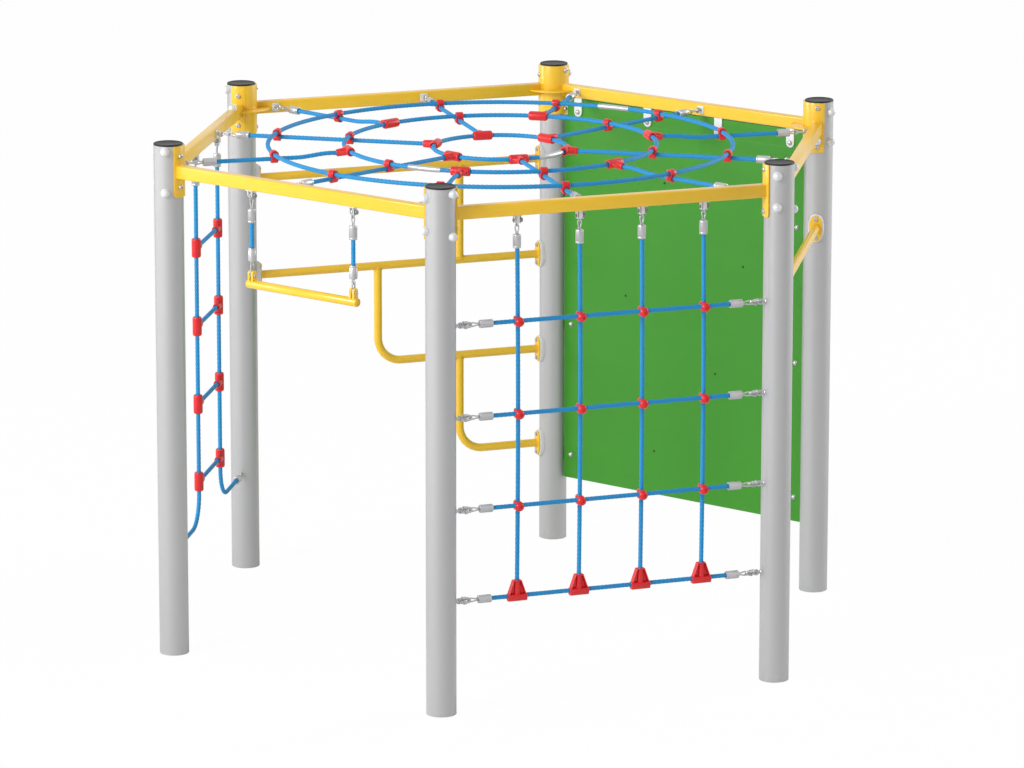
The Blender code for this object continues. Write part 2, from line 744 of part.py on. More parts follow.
def make_spoke(number):
    """A spoke rope from its beam to the middle ring, or for every second one to the inner ring."""
    side, surface, outward = spoke_surface(number)
    parts = rope_end(surface, -outward, Z, SPOKE_REACH)
    start = surface - outward * (SPOKE_REACH + FERRULE_L / 2)
    tip_gap = SOCKET_FLOOR + GAP
    if number % 2 == 0:
        route = [start, outward * (INNER_RING_R + tip_gap) + Z * SPOKE_Z]
    else:
        route = [start]
        low_r = OUTER_RING_R - CLIP_L
        high_r = MIDDLE_RING_R + TEE_BOSS_L + 0.015
        for step in range(3):
            share = step / 2
            lift = RING_LIFT * (1 - math.cos(math.pi * share)) / 2
            route.append(outward * (low_r + (high_r - low_r) * share) + Z * (SPOKE_Z + lift))
        route.append(outward * (MIDDLE_RING_R + tip_gap) + Z * RING_Z)
    parts.append(tube(route, ROPE_R))
    return set_as_one(f"spoke_rope_{number}", parts, MATERIALS["rope"])


def hanging_end(frame, x, y):
    """The two links and the ferrule of a rope that hangs from a beam."""
    top = frame @ Vector((x, y, TOP_LINK_Z))
    bottom = frame @ Vector((x, y, TOP_LINK_END_Z))
    along = frame.to_3x3() @ X
    second_top = bottom + Z * (2 * LINK_WIRE - FUSED)
    ferrule_top = frame @ Vector((x, y, HANG_FERRULE_Z))
    return [ferrule(ferrule_top, -Z), long_link(top, bottom, along),
            bow(second_top, ferrule_top, frame.to_3x3() @ Y)]


def make_net_upright(column):
    """An upright rope of the side net, with its ball clamps and the cone at its foot."""
    frame = side_frame(2)
    x = net_columns()[column - 1]
    rows = net_rows()
    parts = hanging_end(frame, x, CROSSING)
    rope_top = frame @ Vector((x, CROSSING, HANG_FERRULE_Z - FERRULE_L / 2))
    cone_base = NET_BOTTOM_Z - CONE_DROP
    parts.append(tube([rope_top, frame @ Vector((x, CROSSING, cone_base + CONE_H / 2))], ROPE_R))
    cutters = []
    for height in rows[1:]:
        centre = frame @ Vector((x, 0, height))
        outward = frame.to_3x3() @ -Y
        slant = BALL_R * 0.72
        profile = [(0, -BALL_R), (slant, -slant), (BALL_R, 0), (slant, slant), (0, BALL_R)]
        parts.append(turned(profile, pointing(centre, outward), SMALL_STEPS))
        cutters.append(rod(frame @ Vector((x - 2 * BALL_R, -CROSSING, height)),
                           frame @ Vector((x + 2 * BALL_R, -CROSSING, height)), ROPE_R + BORE_PLAY, SMALL_STEPS))
    half_base = CONE_BASE_W / 2
    half_top = CONE_TOP_W / 2
    outline = [(-half_base, 0), (half_base, 0), (half_base, CONE_SKIRT_H), (half_base - 0.010, CONE_SKIRT_H + 0.004),
               (half_top, CONE_H), (-half_top, CONE_H), (-half_base + 0.010, CONE_SKIRT_H + 0.004),
               (-half_base, CONE_SKIRT_H)]
    stand = frame @ axes_matrix(Vector((x, CROSSING, cone_base)), X, Z, -Y)
    parts.append(prism(outline, -CONE_DEPTH / 2, CONE_DEPTH / 2, stand))
    cutters.append(rod(frame @ Vector((x - CONE_BASE_W, CROSSING, NET_BOTTOM_Z)),
                       frame @ Vector((x + CONE_BASE_W, CROSSING, NET_BOTTOM_Z)), ROPE_R + BORE_PLAY, SMALL_STEPS))
    return set_as_one(f"net_upright_rope_{column}", parts, MATERIALS["rope"], cutters)


def make_net_row(row):
    """A cross rope of the side net, from post 2 to post 3; row 0 is the lowest."""
    height = net_rows()[row]
    parts = []
    ends = []
    for x, way in ((0.0, 1), (SIDE, -1)):
        surface, direction = post_surface(2, x, way, net_row_y(row), height)
        parts += rope_end(surface, direction, Z, LONG_REACH)
        ends.append(surface + direction * (LONG_REACH + FERRULE_L / 2))
    parts.append(tube(ends, ROPE_R))
    return set_as_one(f"net_cross_rope_{row + 1}", parts, MATERIALS["rope"])


def rung_heights():
    return [RUNG_TOP_Z - RUNG_STEP * step for step in range(RUNG_COUNT)]


def make_ladder_side(label, x, way):
    """An upright rope of the ladder; way is +1 towards the other upright rope."""
    frame = side_frame(6)
    parts = hanging_end(frame, x, 0.0)
    route = [Vector((x, 0, HANG_FERRULE_Z - FERRULE_L / 2))]
    bend = arc((0, 0), LADDER_BEND_R, 0, -90, 6)
    for across, rise in bend:
        route.append(Vector((x - way * (LADDER_BEND_R - across), 0, LADDER_END_Z + LADDER_BEND_R + rise)))
    post_x = 0.0 if way > 0 else SIDE
    surface, direction = post_surface(6, post_x, way, 0.0, LADDER_END_Z)
    parts += rope_end(surface, direction, Z)
    points = [frame @ point for point in route]
    points.append(surface + direction * (SHORT_REACH + FERRULE_L / 2))
    parts.append(tube(points, ROPE_R))
    cutters = []
    across = (frame.to_3x3() @ X) * way
    for height in rung_heights():
        centre = frame @ Vector((x, 0, height))
        parts += tee(centre, Z, across)
        if label == "left":
            far = SIDE - 2 * min(x, SIDE - x) - SOCKET_FLOOR - GAP
            parts.append(tube([centre + across * SOCKET_FLOOR, centre + across * far], ROPE_R))
        else:
            cutters.append(tee_socket(centre, across))
    return set_as_one(f"ladder_{label}_rope", parts, MATERIALS["rope"], cutters)


def trapeze_places():
    return (("left", SIDE / 2 - TRAPEZE_WIDTH / 2), ("right", SIDE / 2 + TRAPEZE_WIDTH / 2))


def trapeze_levels():
    """Heights of the link tips from the top: rope loop, eye under the rope, lower link's two tips."""
    loop = TOP_LINK_END_Z + 2 * LINK_WIRE + LINK_GAP
    eye = TRAPEZE_LOW_FERRULE_Z - FERRULE_L - TRAPEZE_EYE_L
    lower_top = eye + 2 * LINK_WIRE + LINK_GAP
    lower_bottom = TRAPEZE_LUG_Z - PIN_R - LINK_GAP - LINK_WIRE
    return loop, eye, lower_top, lower_bottom


def make_trapeze_ropes():
    """Top links, ropes and lower links of the trapeze, each its own piece."""
    frame = side_frame(1)
    along = frame.to_3x3() @ X
    across = frame.to_3x3() @ Y
    loop, eye, lower_top, lower_bottom = trapeze_levels()
    for label, x in trapeze_places():
        def at(height):
            return frame @ Vector((x, 0, height))
        set_as_one(f"trapeze_top_link_{label}", [long_link(at(TOP_LINK_Z), at(TOP_LINK_END_Z), along)],
                   MATERIALS["steel"])
        parts = [ferrule(at(HANG_FERRULE_Z), -Z), ferrule(at(TRAPEZE_LOW_FERRULE_Z), -Z),
                 tube([at(HANG_FERRULE_Z - FERRULE_L / 2), at(TRAPEZE_LOW_FERRULE_Z - FERRULE_L / 2)], ROPE_R),
                 bow(at(loop), at(HANG_FERRULE_Z), across),
                 bow(at(eye), at(TRAPEZE_LOW_FERRULE_Z - FERRULE_L), across)]
        set_as_one(f"trapeze_rope_{label}", parts, MATERIALS["rope"])
        set_as_one(f"trapeze_lower_link_{label}", [long_link(at(lower_top), at(lower_bottom), along)],
                   MATERIALS["steel"])


def make_trapeze_bar():
    frame = side_frame(1)
    along = frame.to_3x3() @ X
    half = TRAPEZE_BAR_L / 2
    edge = 0.002
    profile = [(0, -half), (PIPE_R - edge, -half), (PIPE_R, -half + edge), (PIPE_R, half - edge),
               (PIPE_R - edge, half), (0, half)]
    parts = [turned(profile, pointing(frame @ Vector((SIDE / 2, 0, TRAPEZE_BAR_Z)), along), 12)]
    for _, x in trapeze_places():
        foot = TRAPEZE_BAR_Z - TRAPEZE_LUG_Z
        for sign in (-1, 1):
            outline = arc((0, 0), LUG_R, 0, 180, 4) + [(-LUG_R, foot), (LUG_R, foot)]
            face = x + sign * (LUG_GAP / 2 + LUG_T / 2)
            stand = frame @ axes_matrix(Vector((face, 0, TRAPEZE_LUG_Z)), Y, Z, X)
            parts.append(prism(outline, -LUG_T / 2, LUG_T / 2, stand))
        reach = LUG_GAP / 2 + LUG_T
        tips = [frame @ Vector((x + sign * (reach + 0.001), 0, TRAPEZE_LUG_Z)) for sign in (-1, 1)]
        parts.append(rod(tips[0], tips[1], PIN_R, SMALL_STEPS))
    return set_as_one("trapeze_bar", parts, MATERIALS["yellow"])


def make_climbing_frame():
    for number in range(1, 7):
        make_post(number)
        make_cap(number)
        make_corner_plate(number)
        make_beam(number)
    make_wall()
    make_pipe_frame()
    make_cross_bar()
    odd = range(1, SPOKE_COUNT + 1, 2)
    even = range(2, SPOKE_COUNT + 1, 2)
    make_ring("outer", OUTER_RING_R, RING_Z, range(1, SPOKE_COUNT + 1), ())
    make_ring("middle", MIDDLE_RING_R, RING_Z, even, odd)
    make_ring("inner", INNER_RING_R, SPOKE_Z, (), even)
    for number in range(1, SPOKE_COUNT + 1):
        make_spoke(number)
    for column in range(1, NET_COLUMNS + 1):
        make_net_upright(column)
    for row in range(NET_ROWS + 1):
        make_net_row(row)
    make_ladder_side("left", SIDE / 2 + LADDER_WIDTH / 2, -1)
    make_ladder_side("right", SIDE / 2 - LADDER_WIDTH / 2, 1)
    make_trapeze_ropes()
    make_trapeze_bar()


clear_scene()
MATERIALS = {
    "steel": make_material("bare_steel", (0.66, 0.67, 0.68), 0.4, 0.6),
    "cap": make_material("cap_plastic", (0.08, 0.08, 0.085), 0.5),
    "yellow": make_material("yellow_paint", (0.85, 0.55, 0.05), 0.35),
    "green": make_material("green_panel", (0.08, 0.35, 0.05), 0.5),
    "rope": make_material("blue_rope", (0.02, 0.25, 0.75), 0.7),
}
make_climbing_frame()
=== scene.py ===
# %% [markdown]
# # Hexagonal climbing frame
# Six steel posts stand at the corners of a hexagon. Yellow beams join them and carry a rope roof net.
# Each side has its own way to climb: a rope net, a rope ladder, a trapeze, bent pipes, a bar and a wall.
# The CAD frame gives the place of every piece, so each one is modelled straight in metres, where it belongs.
# The load call below returns the frame, and its box is kept to compare sizes at the end.

# %% Load the frame
import math
import bpy
from mathutils import Matrix, Vector


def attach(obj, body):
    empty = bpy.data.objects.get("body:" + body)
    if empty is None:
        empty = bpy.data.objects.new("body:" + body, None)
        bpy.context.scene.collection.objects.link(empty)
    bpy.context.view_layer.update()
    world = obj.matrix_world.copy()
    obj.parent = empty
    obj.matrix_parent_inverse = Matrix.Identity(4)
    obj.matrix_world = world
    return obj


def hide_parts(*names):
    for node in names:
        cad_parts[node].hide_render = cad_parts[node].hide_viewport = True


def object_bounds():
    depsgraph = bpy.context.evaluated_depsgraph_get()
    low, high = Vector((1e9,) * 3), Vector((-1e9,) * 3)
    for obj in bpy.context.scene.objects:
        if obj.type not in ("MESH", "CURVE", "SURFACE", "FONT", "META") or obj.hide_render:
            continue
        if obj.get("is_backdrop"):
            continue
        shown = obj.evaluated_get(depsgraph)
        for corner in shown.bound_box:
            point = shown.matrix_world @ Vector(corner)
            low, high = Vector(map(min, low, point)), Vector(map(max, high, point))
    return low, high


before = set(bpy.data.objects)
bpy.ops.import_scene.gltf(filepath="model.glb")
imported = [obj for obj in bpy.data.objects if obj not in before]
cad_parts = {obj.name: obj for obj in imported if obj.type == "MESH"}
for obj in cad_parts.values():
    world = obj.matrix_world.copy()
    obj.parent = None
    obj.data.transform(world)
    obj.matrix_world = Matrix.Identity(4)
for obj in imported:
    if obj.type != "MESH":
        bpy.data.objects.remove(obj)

cad_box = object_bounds()
print("CAD nodes:", len(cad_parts))
print("box:", [[round(value, 4) for value in corner] for corner in cad_box])

# %% [markdown]
# The camera comes first, because it decides which details show. A long lens from far away keeps the posts
# nearly parallel, as in the photograph. The place and direction were worked out from the posts' ends.

# %% Camera
CAMERA_PLACE = Vector((-7.8813, -20.9197, 6.0811))
CAMERA_YAW = math.radians(69.238)
CAMERA_PITCH = math.radians(-12.891)
CAMERA_ROLL = math.radians(0.05)

bpy.ops.object.select_all(action="DESELECT")
bpy.ops.object.camera_add(location=CAMERA_PLACE)
camera = bpy.context.object
camera.name = "view_from_the_net_side"
gaze = Vector((math.cos(CAMERA_PITCH) * math.cos(CAMERA_YAW), math.cos(CAMERA_PITCH) * math.sin(CAMERA_YAW),
               math.sin(CAMERA_PITCH)))
turn = gaze.to_track_quat("-Z", "Y") @ Matrix.Rotation(CAMERA_ROLL, 3, "Z").to_quaternion()
camera.rotation_euler = turn.to_euler()
camera.data.sensor_width = 36.0
camera.data.lens = 204.0
bpy.context.scene.camera = camera
print("camera height:", camera.location.z)

# %% [markdown]
# The photograph has a plain white ground and soft light that comes mostly from the left. A wide pale floor,
# a white world and three lamps give that: a large one on the left, a weaker one on the right, and one behind
# the left side for its edges. The world is plain white only for the camera and for reflections, so the white
# ground doesn't add light to the object. Two helpers add shader nodes and feed their inputs.

# %% Floor, world and lamps
WHITE = (1, 1, 1, 1)
FLOOR_GREY = (0.92, 0.92, 0.92, 1)
FLOOR_WHITE_SHARE = 0.97
ROOM_STRENGTH = 0.43


def feed(tree, node, inputs):
    """Set a node's inputs; where the value is another node's output, it is linked."""
    for name, value in inputs.items():
        if isinstance(value, bpy.types.NodeSocket):
            tree.links.new(value, node.inputs[name])
        else:
            node.inputs[name].default_value = value


def add_node(tree, kind, inputs=None, **settings):
    """Add a node with its settings and inputs."""
    node = tree.nodes.new(kind)
    for name, value in settings.items():
        setattr(node, name, value)
    feed(tree, node, inputs or {})
    return node


def lamp(name, place, target, size, power):
    """A square soft lamp that looks at a target."""
    bpy.ops.object.select_all(action="DESELECT")
    bpy.ops.object.light_add(type="AREA", location=place)
    made = bpy.context.object
    made.name = name
    made.data.size = size
    made.data.energy = power
    made.rotation_euler = (Vector(target) - Vector(place)).to_track_quat("-Z", "Y").to_euler()


bpy.ops.object.select_all(action="DESELECT")
bpy.ops.mesh.primitive_plane_add(size=60, location=(0, 0, 0))
floor = bpy.context.object
floor.name = "floor"
floor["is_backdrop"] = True
chalk = bpy.data.materials.new("pale_floor")
chalk.use_nodes = True
tree = chalk.node_tree
shader = tree.nodes["Principled BSDF"]
feed(tree, shader, {"Base Color": FLOOR_GREY, "Roughness": 0.9})
rays = add_node(tree, "ShaderNodeLightPath")
share = add_node(tree, "ShaderNodeMath", {0: rays.outputs["Is Camera Ray"], 1: FLOOR_WHITE_SHARE},
                 operation="MULTIPLY")
white = add_node(tree, "ShaderNodeEmission", {"Color": WHITE, "Strength": 1.0})
blend = add_node(tree, "ShaderNodeMixShader", {"Fac": share.outputs["Value"], 1: shader.outputs["BSDF"],
                                               2: white.outputs["Emission"]})
feed(tree, tree.nodes["Material Output"], {"Surface": blend.outputs["Shader"]})
floor.data.materials.append(chalk)

world = bpy.data.worlds.new("studio")
bpy.context.scene.world = world
world.use_nodes = True
tree = world.node_tree
tree.nodes.clear()
rays = add_node(tree, "ShaderNodeLightPath")
either = add_node(tree, "ShaderNodeMath", {0: rays.outputs["Is Camera Ray"], 1: rays.outputs["Is Glossy Ray"]},
                  operation="MAXIMUM")
room_light = add_node(tree, "ShaderNodeBackground", {"Color": WHITE, "Strength": ROOM_STRENGTH})
white_ground = add_node(tree, "ShaderNodeBackground", {"Color": WHITE, "Strength": 1.0})
blend = add_node(tree, "ShaderNodeMixShader",
                 {"Fac": either.outputs["Value"], 1: room_light.outputs["Background"],
                  2: white_ground.outputs["Background"]})
add_node(tree, "ShaderNodeOutputWorld", {"Surface": blend.outputs["Shader"]})

lamp("key_lamp_left", (-16.0, -5.0, 9.0), (0, 0, 1.1), 6.0, 2500)
lamp("fill_lamp_right", (14.0, 0.5, 6.0), (0, 0, 1.0), 6.0, 980)
lamp("rim_lamp_left", (-14.0, 8.0, 4.0), (0, 0, 1.0), 5.0, 520)
bpy.context.scene.view_settings.view_transform = "Standard"

# %% [markdown]
# ## Finishes
# Every finish is a Principled shader with small variation on it: a noise that shifts the colour a little,
# one that changes the roughness, and a bump at the size that the real surface has. The patterns read
# Object coordinates, so they stay on the piece.

# %% A helper for finishes
BUMP_DEPTH = 0.0006


def finish(name, colour, roughness, metallic=0.0, grain=60.0, shift=0.06, rough_shift=0.08, bump=0.05,
           bump_size=400.0, stretch=(1, 1, 1), extra=None):
    """A finish whose colour, roughness and bump vary with noise; extra holds more shader inputs."""
    made = bpy.data.materials.new(name)
    made.use_nodes = True
    tree = made.node_tree
    place = add_node(tree, "ShaderNodeTexCoord")
    mapping = add_node(tree, "ShaderNodeMapping", {"Scale": stretch, "Vector": place.outputs["Object"]})
    where = mapping.outputs["Vector"]
    spots = add_node(tree, "ShaderNodeTexNoise", {"Scale": grain, "Detail": 4.0, "Vector": where})
    broad = spots.outputs["Fac"]
    tint = add_node(tree, "ShaderNodeMapRange", {"To Min": 1.0 - shift, "To Max": 1.0 + shift, "Value": broad})
    shade = add_node(tree, "ShaderNodeMix", {"Factor": 1.0, "A": (*colour, 1.0), "B": tint.outputs["Result"]},
                     data_type="RGBA", blend_type="MULTIPLY")
    gloss = add_node(tree, "ShaderNodeMapRange", {"To Min": max(0.05, roughness - rough_shift),
                                                  "To Max": roughness + rough_shift, "Value": broad})
    fine = add_node(tree, "ShaderNodeTexNoise", {"Scale": bump_size, "Detail": 2.0, "Vector": where})
    relief = add_node(tree, "ShaderNodeBump", {"Strength": bump, "Distance": BUMP_DEPTH,
                                               "Height": fine.outputs["Fac"]})
    feed(tree, tree.nodes["Principled BSDF"],
         {"Base Color": shade.outputs["Result"], "Roughness": gloss.outputs["Result"], "Metallic": metallic,
          "Normal": relief.outputs["Normal"], **(extra or {})})
    return made


# %% [markdown]
# The posts are satin silver steel with fine streaks along their height. The small steel parts are
# brighter. The powder coat has the faint orange-peel skin of baked paint and a clear gloss on top.

# %% Metal finishes
satin_steel = finish("satin_steel_post", (0.46, 0.46, 0.465), 0.42, 0.5, grain=9.0, shift=0.04,
                     rough_shift=0.05, bump=0.04, bump_size=260.0, stretch=(1, 1, 0.15))
bright_steel = finish("bright_steel_fitting", (0.50, 0.50, 0.51), 0.34, 0.8, grain=120.0, shift=0.08,
                      rough_shift=0.1, bump=0.12, bump_size=900.0)
yellow_coat = finish("yellow_powder_coat", (0.87, 0.525, 0.014), 0.33, grain=14.0, shift=0.05,
                     rough_shift=0.06, bump=0.10, bump_size=650.0,
                     extra={"Coat Weight": 0.35, "Coat Roughness": 0.18})
pale_zinc = finish("pale_zinc_plate", (0.70, 0.71, 0.72), 0.5, 0.15, grain=80.0, shift=0.06, rough_shift=0.08,
                   bump=0.10, bump_size=700.0)
print("metal finishes:", satin_steel.name, bright_steel.name, yellow_coat.name, pale_zinc.name)

# %% [markdown]
# The connectors are moulded red plastic, the caps dark plastic, and the wall a green plastic board with a
# fine matt grain. The ropes are blue polyester yarn round a wire core. Their yarn gives a soft sheen, and
# a fine bump stands for the filaments.

# %% Plastic and rope finishes
red_plastic = finish("red_moulded_plastic", (0.70, 0.010, 0.014), 0.34, grain=70.0, shift=0.06, bump=0.08,
                     bump_size=700.0)
dark_plastic = finish("dark_cap_plastic", (0.009, 0.009, 0.010), 0.50, grain=40.0, shift=0.12, bump=0.25,
                      bump_size=900.0, extra={"Specular IOR Level": 0.30})
green_board = finish("green_board", (0.030, 0.250, 0.005), 0.55, grain=6.0, shift=0.05, bump=0.22,
                     bump_size=800.0)
blue_yarn = finish("blue_rope_yarn", (0.004, 0.262, 0.59), 0.58, grain=240.0, shift=0.14, bump=0.5,
                   bump_size=1500.0, extra={"Sheen Weight": 0.05})
# A flat black finish for painted shade: it stands for the dark insides of the fixing holes.
painted_hole_shade = finish("painted_shade_fixing_hole", (0.005, 0.005, 0.005), 0.7, grain=90.0, shift=0.1, bump=0.1)
dark_bolt = finish("dark_bolt_steel", (0.24, 0.25, 0.24), 0.42, 0.5, grain=150.0, shift=0.08, rough_shift=0.08,
                   bump=0.12, bump_size=900.0)
HOLD_COLOURS = {"red": (0.60, 0.03, 0.02), "yellow": (0.80, 0.45, 0.02), "blue": (0.02, 0.16, 0.55)}
hold_looks = {}
for name, colour in HOLD_COLOURS.items():
    hold_looks[name] = finish(f"{name}_hold_resin", colour, 0.75, grain=60.0, shift=0.12, bump=0.8,
                              bump_size=1100.0)
print("finishes:", len(bpy.data.materials))

# %% [markdown]
# ## Ways of making a piece
# A few ways of working come back for every piece, so they are written once. Each starts with nothing
# selected, because an operator acts on all that is selected. A finish has its material slot in the table.

# %% Choosing, joining and finishing pieces
ROOT = "climbing_frame"
ORIGIN = Vector((0, 0, 0))
X = Vector((1, 0, 0))
Y = Vector((0, 1, 0))
Z = Vector((0, 0, 1))
SLOTS = {"bare_steel": (satin_steel, bright_steel, pale_zinc, dark_bolt), "yellow_paint": (yellow_coat,),
         "blue_rope": (blue_yarn,), "green_panel": (green_board,), "cap_plastic": (dark_plastic,)}
slot_of = {look.name: slot for slot, looks in SLOTS.items() for look in looks}
made_pieces = []


def pick(*pieces):
    """Select only these pieces; the first is the active one."""
    bpy.ops.object.select_all(action="DESELECT")
    for piece in pieces:
        piece.select_set(True)
    bpy.context.view_layer.objects.active = pieces[0]


def set_down(piece, place):
    """Put a piece at a place and make that part of its mesh."""
    piece.matrix_world = place
    pick(piece)
    bpy.ops.object.transform_apply(location=True, rotation=True, scale=True)
    return piece


def copy_to(piece, place):
    """A copy with its own mesh."""
    twin = piece.copy()
    twin.data = piece.data.copy()
    bpy.context.scene.collection.objects.link(twin)
    return set_down(twin, place)


def one_piece(parts):
    """Join parts into one object."""
    if len(parts) > 1:
        pick(*parts)
        bpy.ops.object.join()
    return parts[0]


def on_whole_mesh(piece, steps):
    """Do steps in edit mode, each on all of the piece's mesh."""
    pick(piece)
    bpy.ops.object.mode_set(mode="EDIT")
    for operator, settings in steps:
        bpy.ops.mesh.select_all(action="SELECT")
        operator(**settings)
    bpy.ops.object.mode_set(mode="OBJECT")
    return piece


def outward(piece):
    """Turn all faces outwards."""
    return on_whole_mesh(piece, [(bpy.ops.mesh.normals_make_consistent, {"inside": False})])


def done(name, parts, look, body=ROOT, stands_for=(), angle=38):
    """Name a piece, give it its finish, and tie it to its body."""
    piece = one_piece(parts)
    pick(piece)
    bpy.ops.object.transform_apply(location=True, rotation=True, scale=True)
    bpy.ops.object.shade_smooth_by_angle(angle=math.radians(angle))
    piece.name = name
    piece.data.name = name
    piece.data.materials.clear()
    piece.data.materials.append(look)
    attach(piece, body)
    if stands_for:
        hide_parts(*stands_for)
    made_pieces.append(piece)


def frame_at(origin, x_axis, y_axis, z_axis):
    """The matrix of a place with these axes."""
    return Matrix.Translation(origin) @ Matrix((x_axis, y_axis, z_axis)).transposed().to_4x4()


def pointing(origin, direction, up=Z):
    """A place whose Z axis points along the direction."""
    z_axis = direction.normalized()
    x_axis = up.cross(z_axis)
    if x_axis.length < 1e-4:
        x_axis = X.cross(z_axis)
    x_axis.normalize()
    return frame_at(origin, x_axis, z_axis.cross(x_axis), z_axis)


XZ_SHEET = frame_at(ORIGIN, X, Z, -Y)
YZ_SHEET = frame_at(ORIGIN, Y, Z, X)

# %% [markdown]
# Round parts such as bolts, ferrules and domes come off a lathe. Their profile is a line of radius and
# height pairs. A Screw modifier spins it once round, and converting the line to a mesh applies it.

# %% Turned parts


def line_object(name, points, closed=False, flat=False):
    """A curve object that runs through points."""
    curve = bpy.data.curves.new(name, "CURVE")
    curve.dimensions = "2D" if flat else "3D"
    spline = curve.splines.new("POLY")
    spline.points.add(len(points) - 1)
    for point, where in zip(spline.points, points):
        point.co = (*where, 1)
    spline.use_cyclic_u = closed
    made = bpy.data.objects.new(name, curve)
    bpy.context.scene.collection.objects.link(made)
    return made


def as_mesh(piece):
    """Turn a curve object and its modifiers into a mesh."""
    pick(piece)
    bpy.ops.object.convert(target="MESH")
    return bpy.context.object


def turned(profile, steps=32):
    """Spin a profile of (radius, height) points round the Z axis."""
    closed = profile[0] == profile[-1]
    shown = profile[:-1] if closed else profile
    piece = line_object("turned", [(radius, 0, height) for radius, height in shown], closed)
    spin = piece.modifiers.new("spin", "SCREW")
    spin.axis = "Z"
    spin.steps = steps
    spin.render_steps = steps
    spin.use_merge_vertices = True
    spin.merge_threshold = 0.00001
    return outward(as_mesh(piece))


def polar(radius, angle):
    """The point at a radius and an angle in degrees."""
    return radius * math.cos(math.radians(angle)), radius * math.sin(math.radians(angle))


def arc(centre, radius, start, end, steps):
    """Points on an arc, with angles in degrees."""
    turns = [polar(radius, start + (end - start) * step / steps) for step in range(steps + 1)]
    return [(centre[0] + x, centre[1] + y) for x, y in turns]


# %% [markdown]
# Plates are cut from an outline: a flat filled curve with a thickness and a small bevel that softens its
# edges as deburring and paint do. Pipes and rods are a round bevel that follows a line of points.

# %% Plates and bars


def plate(outline, low, high, edge=0.0008):
    """Cut a plate from an outline, from low to high along Z."""
    piece = line_object("plate", [(x, y, 0) for x, y in outline], closed=True, flat=True)
    piece.data.fill_mode = "BOTH"
    piece.data.extrude = (high - low) / 2 - edge
    piece.data.bevel_depth = edge
    piece.data.bevel_resolution = 1
    piece.data.offset = -edge
    piece = on_whole_mesh(as_mesh(piece), [(bpy.ops.mesh.remove_doubles, {"threshold": 0.000002}),
                                           (bpy.ops.mesh.normals_make_consistent, {"inside": False})])
    return set_down(piece, Matrix.Translation((0, 0, (low + high) / 2)))


def bar(points, radius, closed=False, sides=3, taper=()):
    """A round bar along points; sides sets how round it is."""
    piece = line_object("bar", points, closed)
    piece.data.bevel_depth = radius
    piece.data.bevel_resolution = sides
    piece.data.use_fill_caps = True
    for point, size in zip(piece.data.splines[0].points, taper):
        point.radius = size
    return outward(as_mesh(piece))


def box_outline(half, low, high):
    """A rectangle that is even to both sides of 0."""
    return [(-half, low), (half, low), (half, high), (-half, high)]


def rounded_box(width, height, corner, steps):
    """A rectangle round 0 with rounded corners."""
    outline = []
    for way_x, way_y, start in ((1, 1, 0), (-1, 1, 90), (-1, -1, 180), (1, -1, 270)):
        centre = (way_x * (width / 2 - corner), way_y * (height / 2 - corner))
        outline += arc(centre, corner, start, start + 90, steps)
    return outline


# %% [markdown]
# ## The hexagon
# Post 1 stands at the left, and the posts are numbered anticlockwise seen from above. A side's frame has
# X along the side, Y to the middle of the hexagon, and Z up.

# %% Places of posts and sides
SIDE = 1.360
POST_R = 0.05715
POST_H = 2.016
BEAM_Z = 1.916
BEAM_H = 0.050
BEAM_W = 0.040
BEAM_CORNER = 0.0055
GAP = 0.0003
SADDLE_WALL = 0.006
SADDLE_IN_R = POST_R + GAP
SADDLE_OUT_R = SADDLE_IN_R + SADDLE_WALL
BEAM_BOTTOM = BEAM_Z - BEAM_H / 2
NUMBERS = range(1, 7)


def radial(angle):
    """The level direction at an angle in degrees."""
    return Vector((*polar(1, angle), 0))


def post_place(number):
    """The foot of a post."""
    return radial(180 + 60 * (number - 1)) * SIDE


def side_frame(number):
    """The place of a side, from its first post along the beam."""
    start = post_place(number)
    along = (post_place(number + 1) - start).normalized()
    return frame_at(start, along, Z.cross(along), Z)


def post_frame(number):
    """The place of a post, with X to the middle."""
    start = post_place(number)
    inward = -start.normalized()
    return frame_at(start, inward, Z.cross(inward), Z)


def done_on_all(name, model, place_of, look):
    """Put a model at all six places and name each copy; the model is used up."""
    node, ending = name.split("#")
    for number in NUMBERS:
        copy = copy_to(model, place_of(number))
        done(f"{node}{number}{ending}", [copy], look, stands_for=[f"{node}{number}"])
    bpy.data.objects.remove(model)


print("post 1 at", [round(value, 3) for value in post_place(1)])

# %% [markdown]
# ## Posts and caps
# A post is a steel tube. It is turned from the profile of its wall, so it is really hollow. The foot is a
# disc with a drain hole. The rims get a small bevel, because cut tube is always deburred.

# %% Posts
WALL = 0.0040
FLOOR_Z, FLOOR_TOP, DRAIN_R, RIM = 0.0002, 0.006, 0.012, 0.0008
top = POST_H - FLOOR_Z
tube_profile = [(DRAIN_R, FLOOR_Z), (POST_R - RIM, FLOOR_Z), (POST_R, FLOOR_Z + RIM), (POST_R, top - RIM),
                (POST_R - RIM, top), (POST_R - WALL + RIM, top), (POST_R - WALL, top - RIM),
                (POST_R - WALL, FLOOR_TOP), (DRAIN_R, FLOOR_TOP), (DRAIN_R, FLOOR_Z)]
tube = turned(tube_profile, steps=96)


def standing(number):
    """The upright place of a post's round parts."""
    return Matrix.Translation(post_place(number))


posts = [copy_to(tube, standing(number)) for number in NUMBERS]
bpy.data.objects.remove(tube)
print("posts:", len(posts))

# %% [markdown]
# A cap is a moulded disc with a plug that sits in the tube. Its top is a flat face inside a slim raised
# rim, with a soft shoulder on the outside. Each cap is turned from that profile.

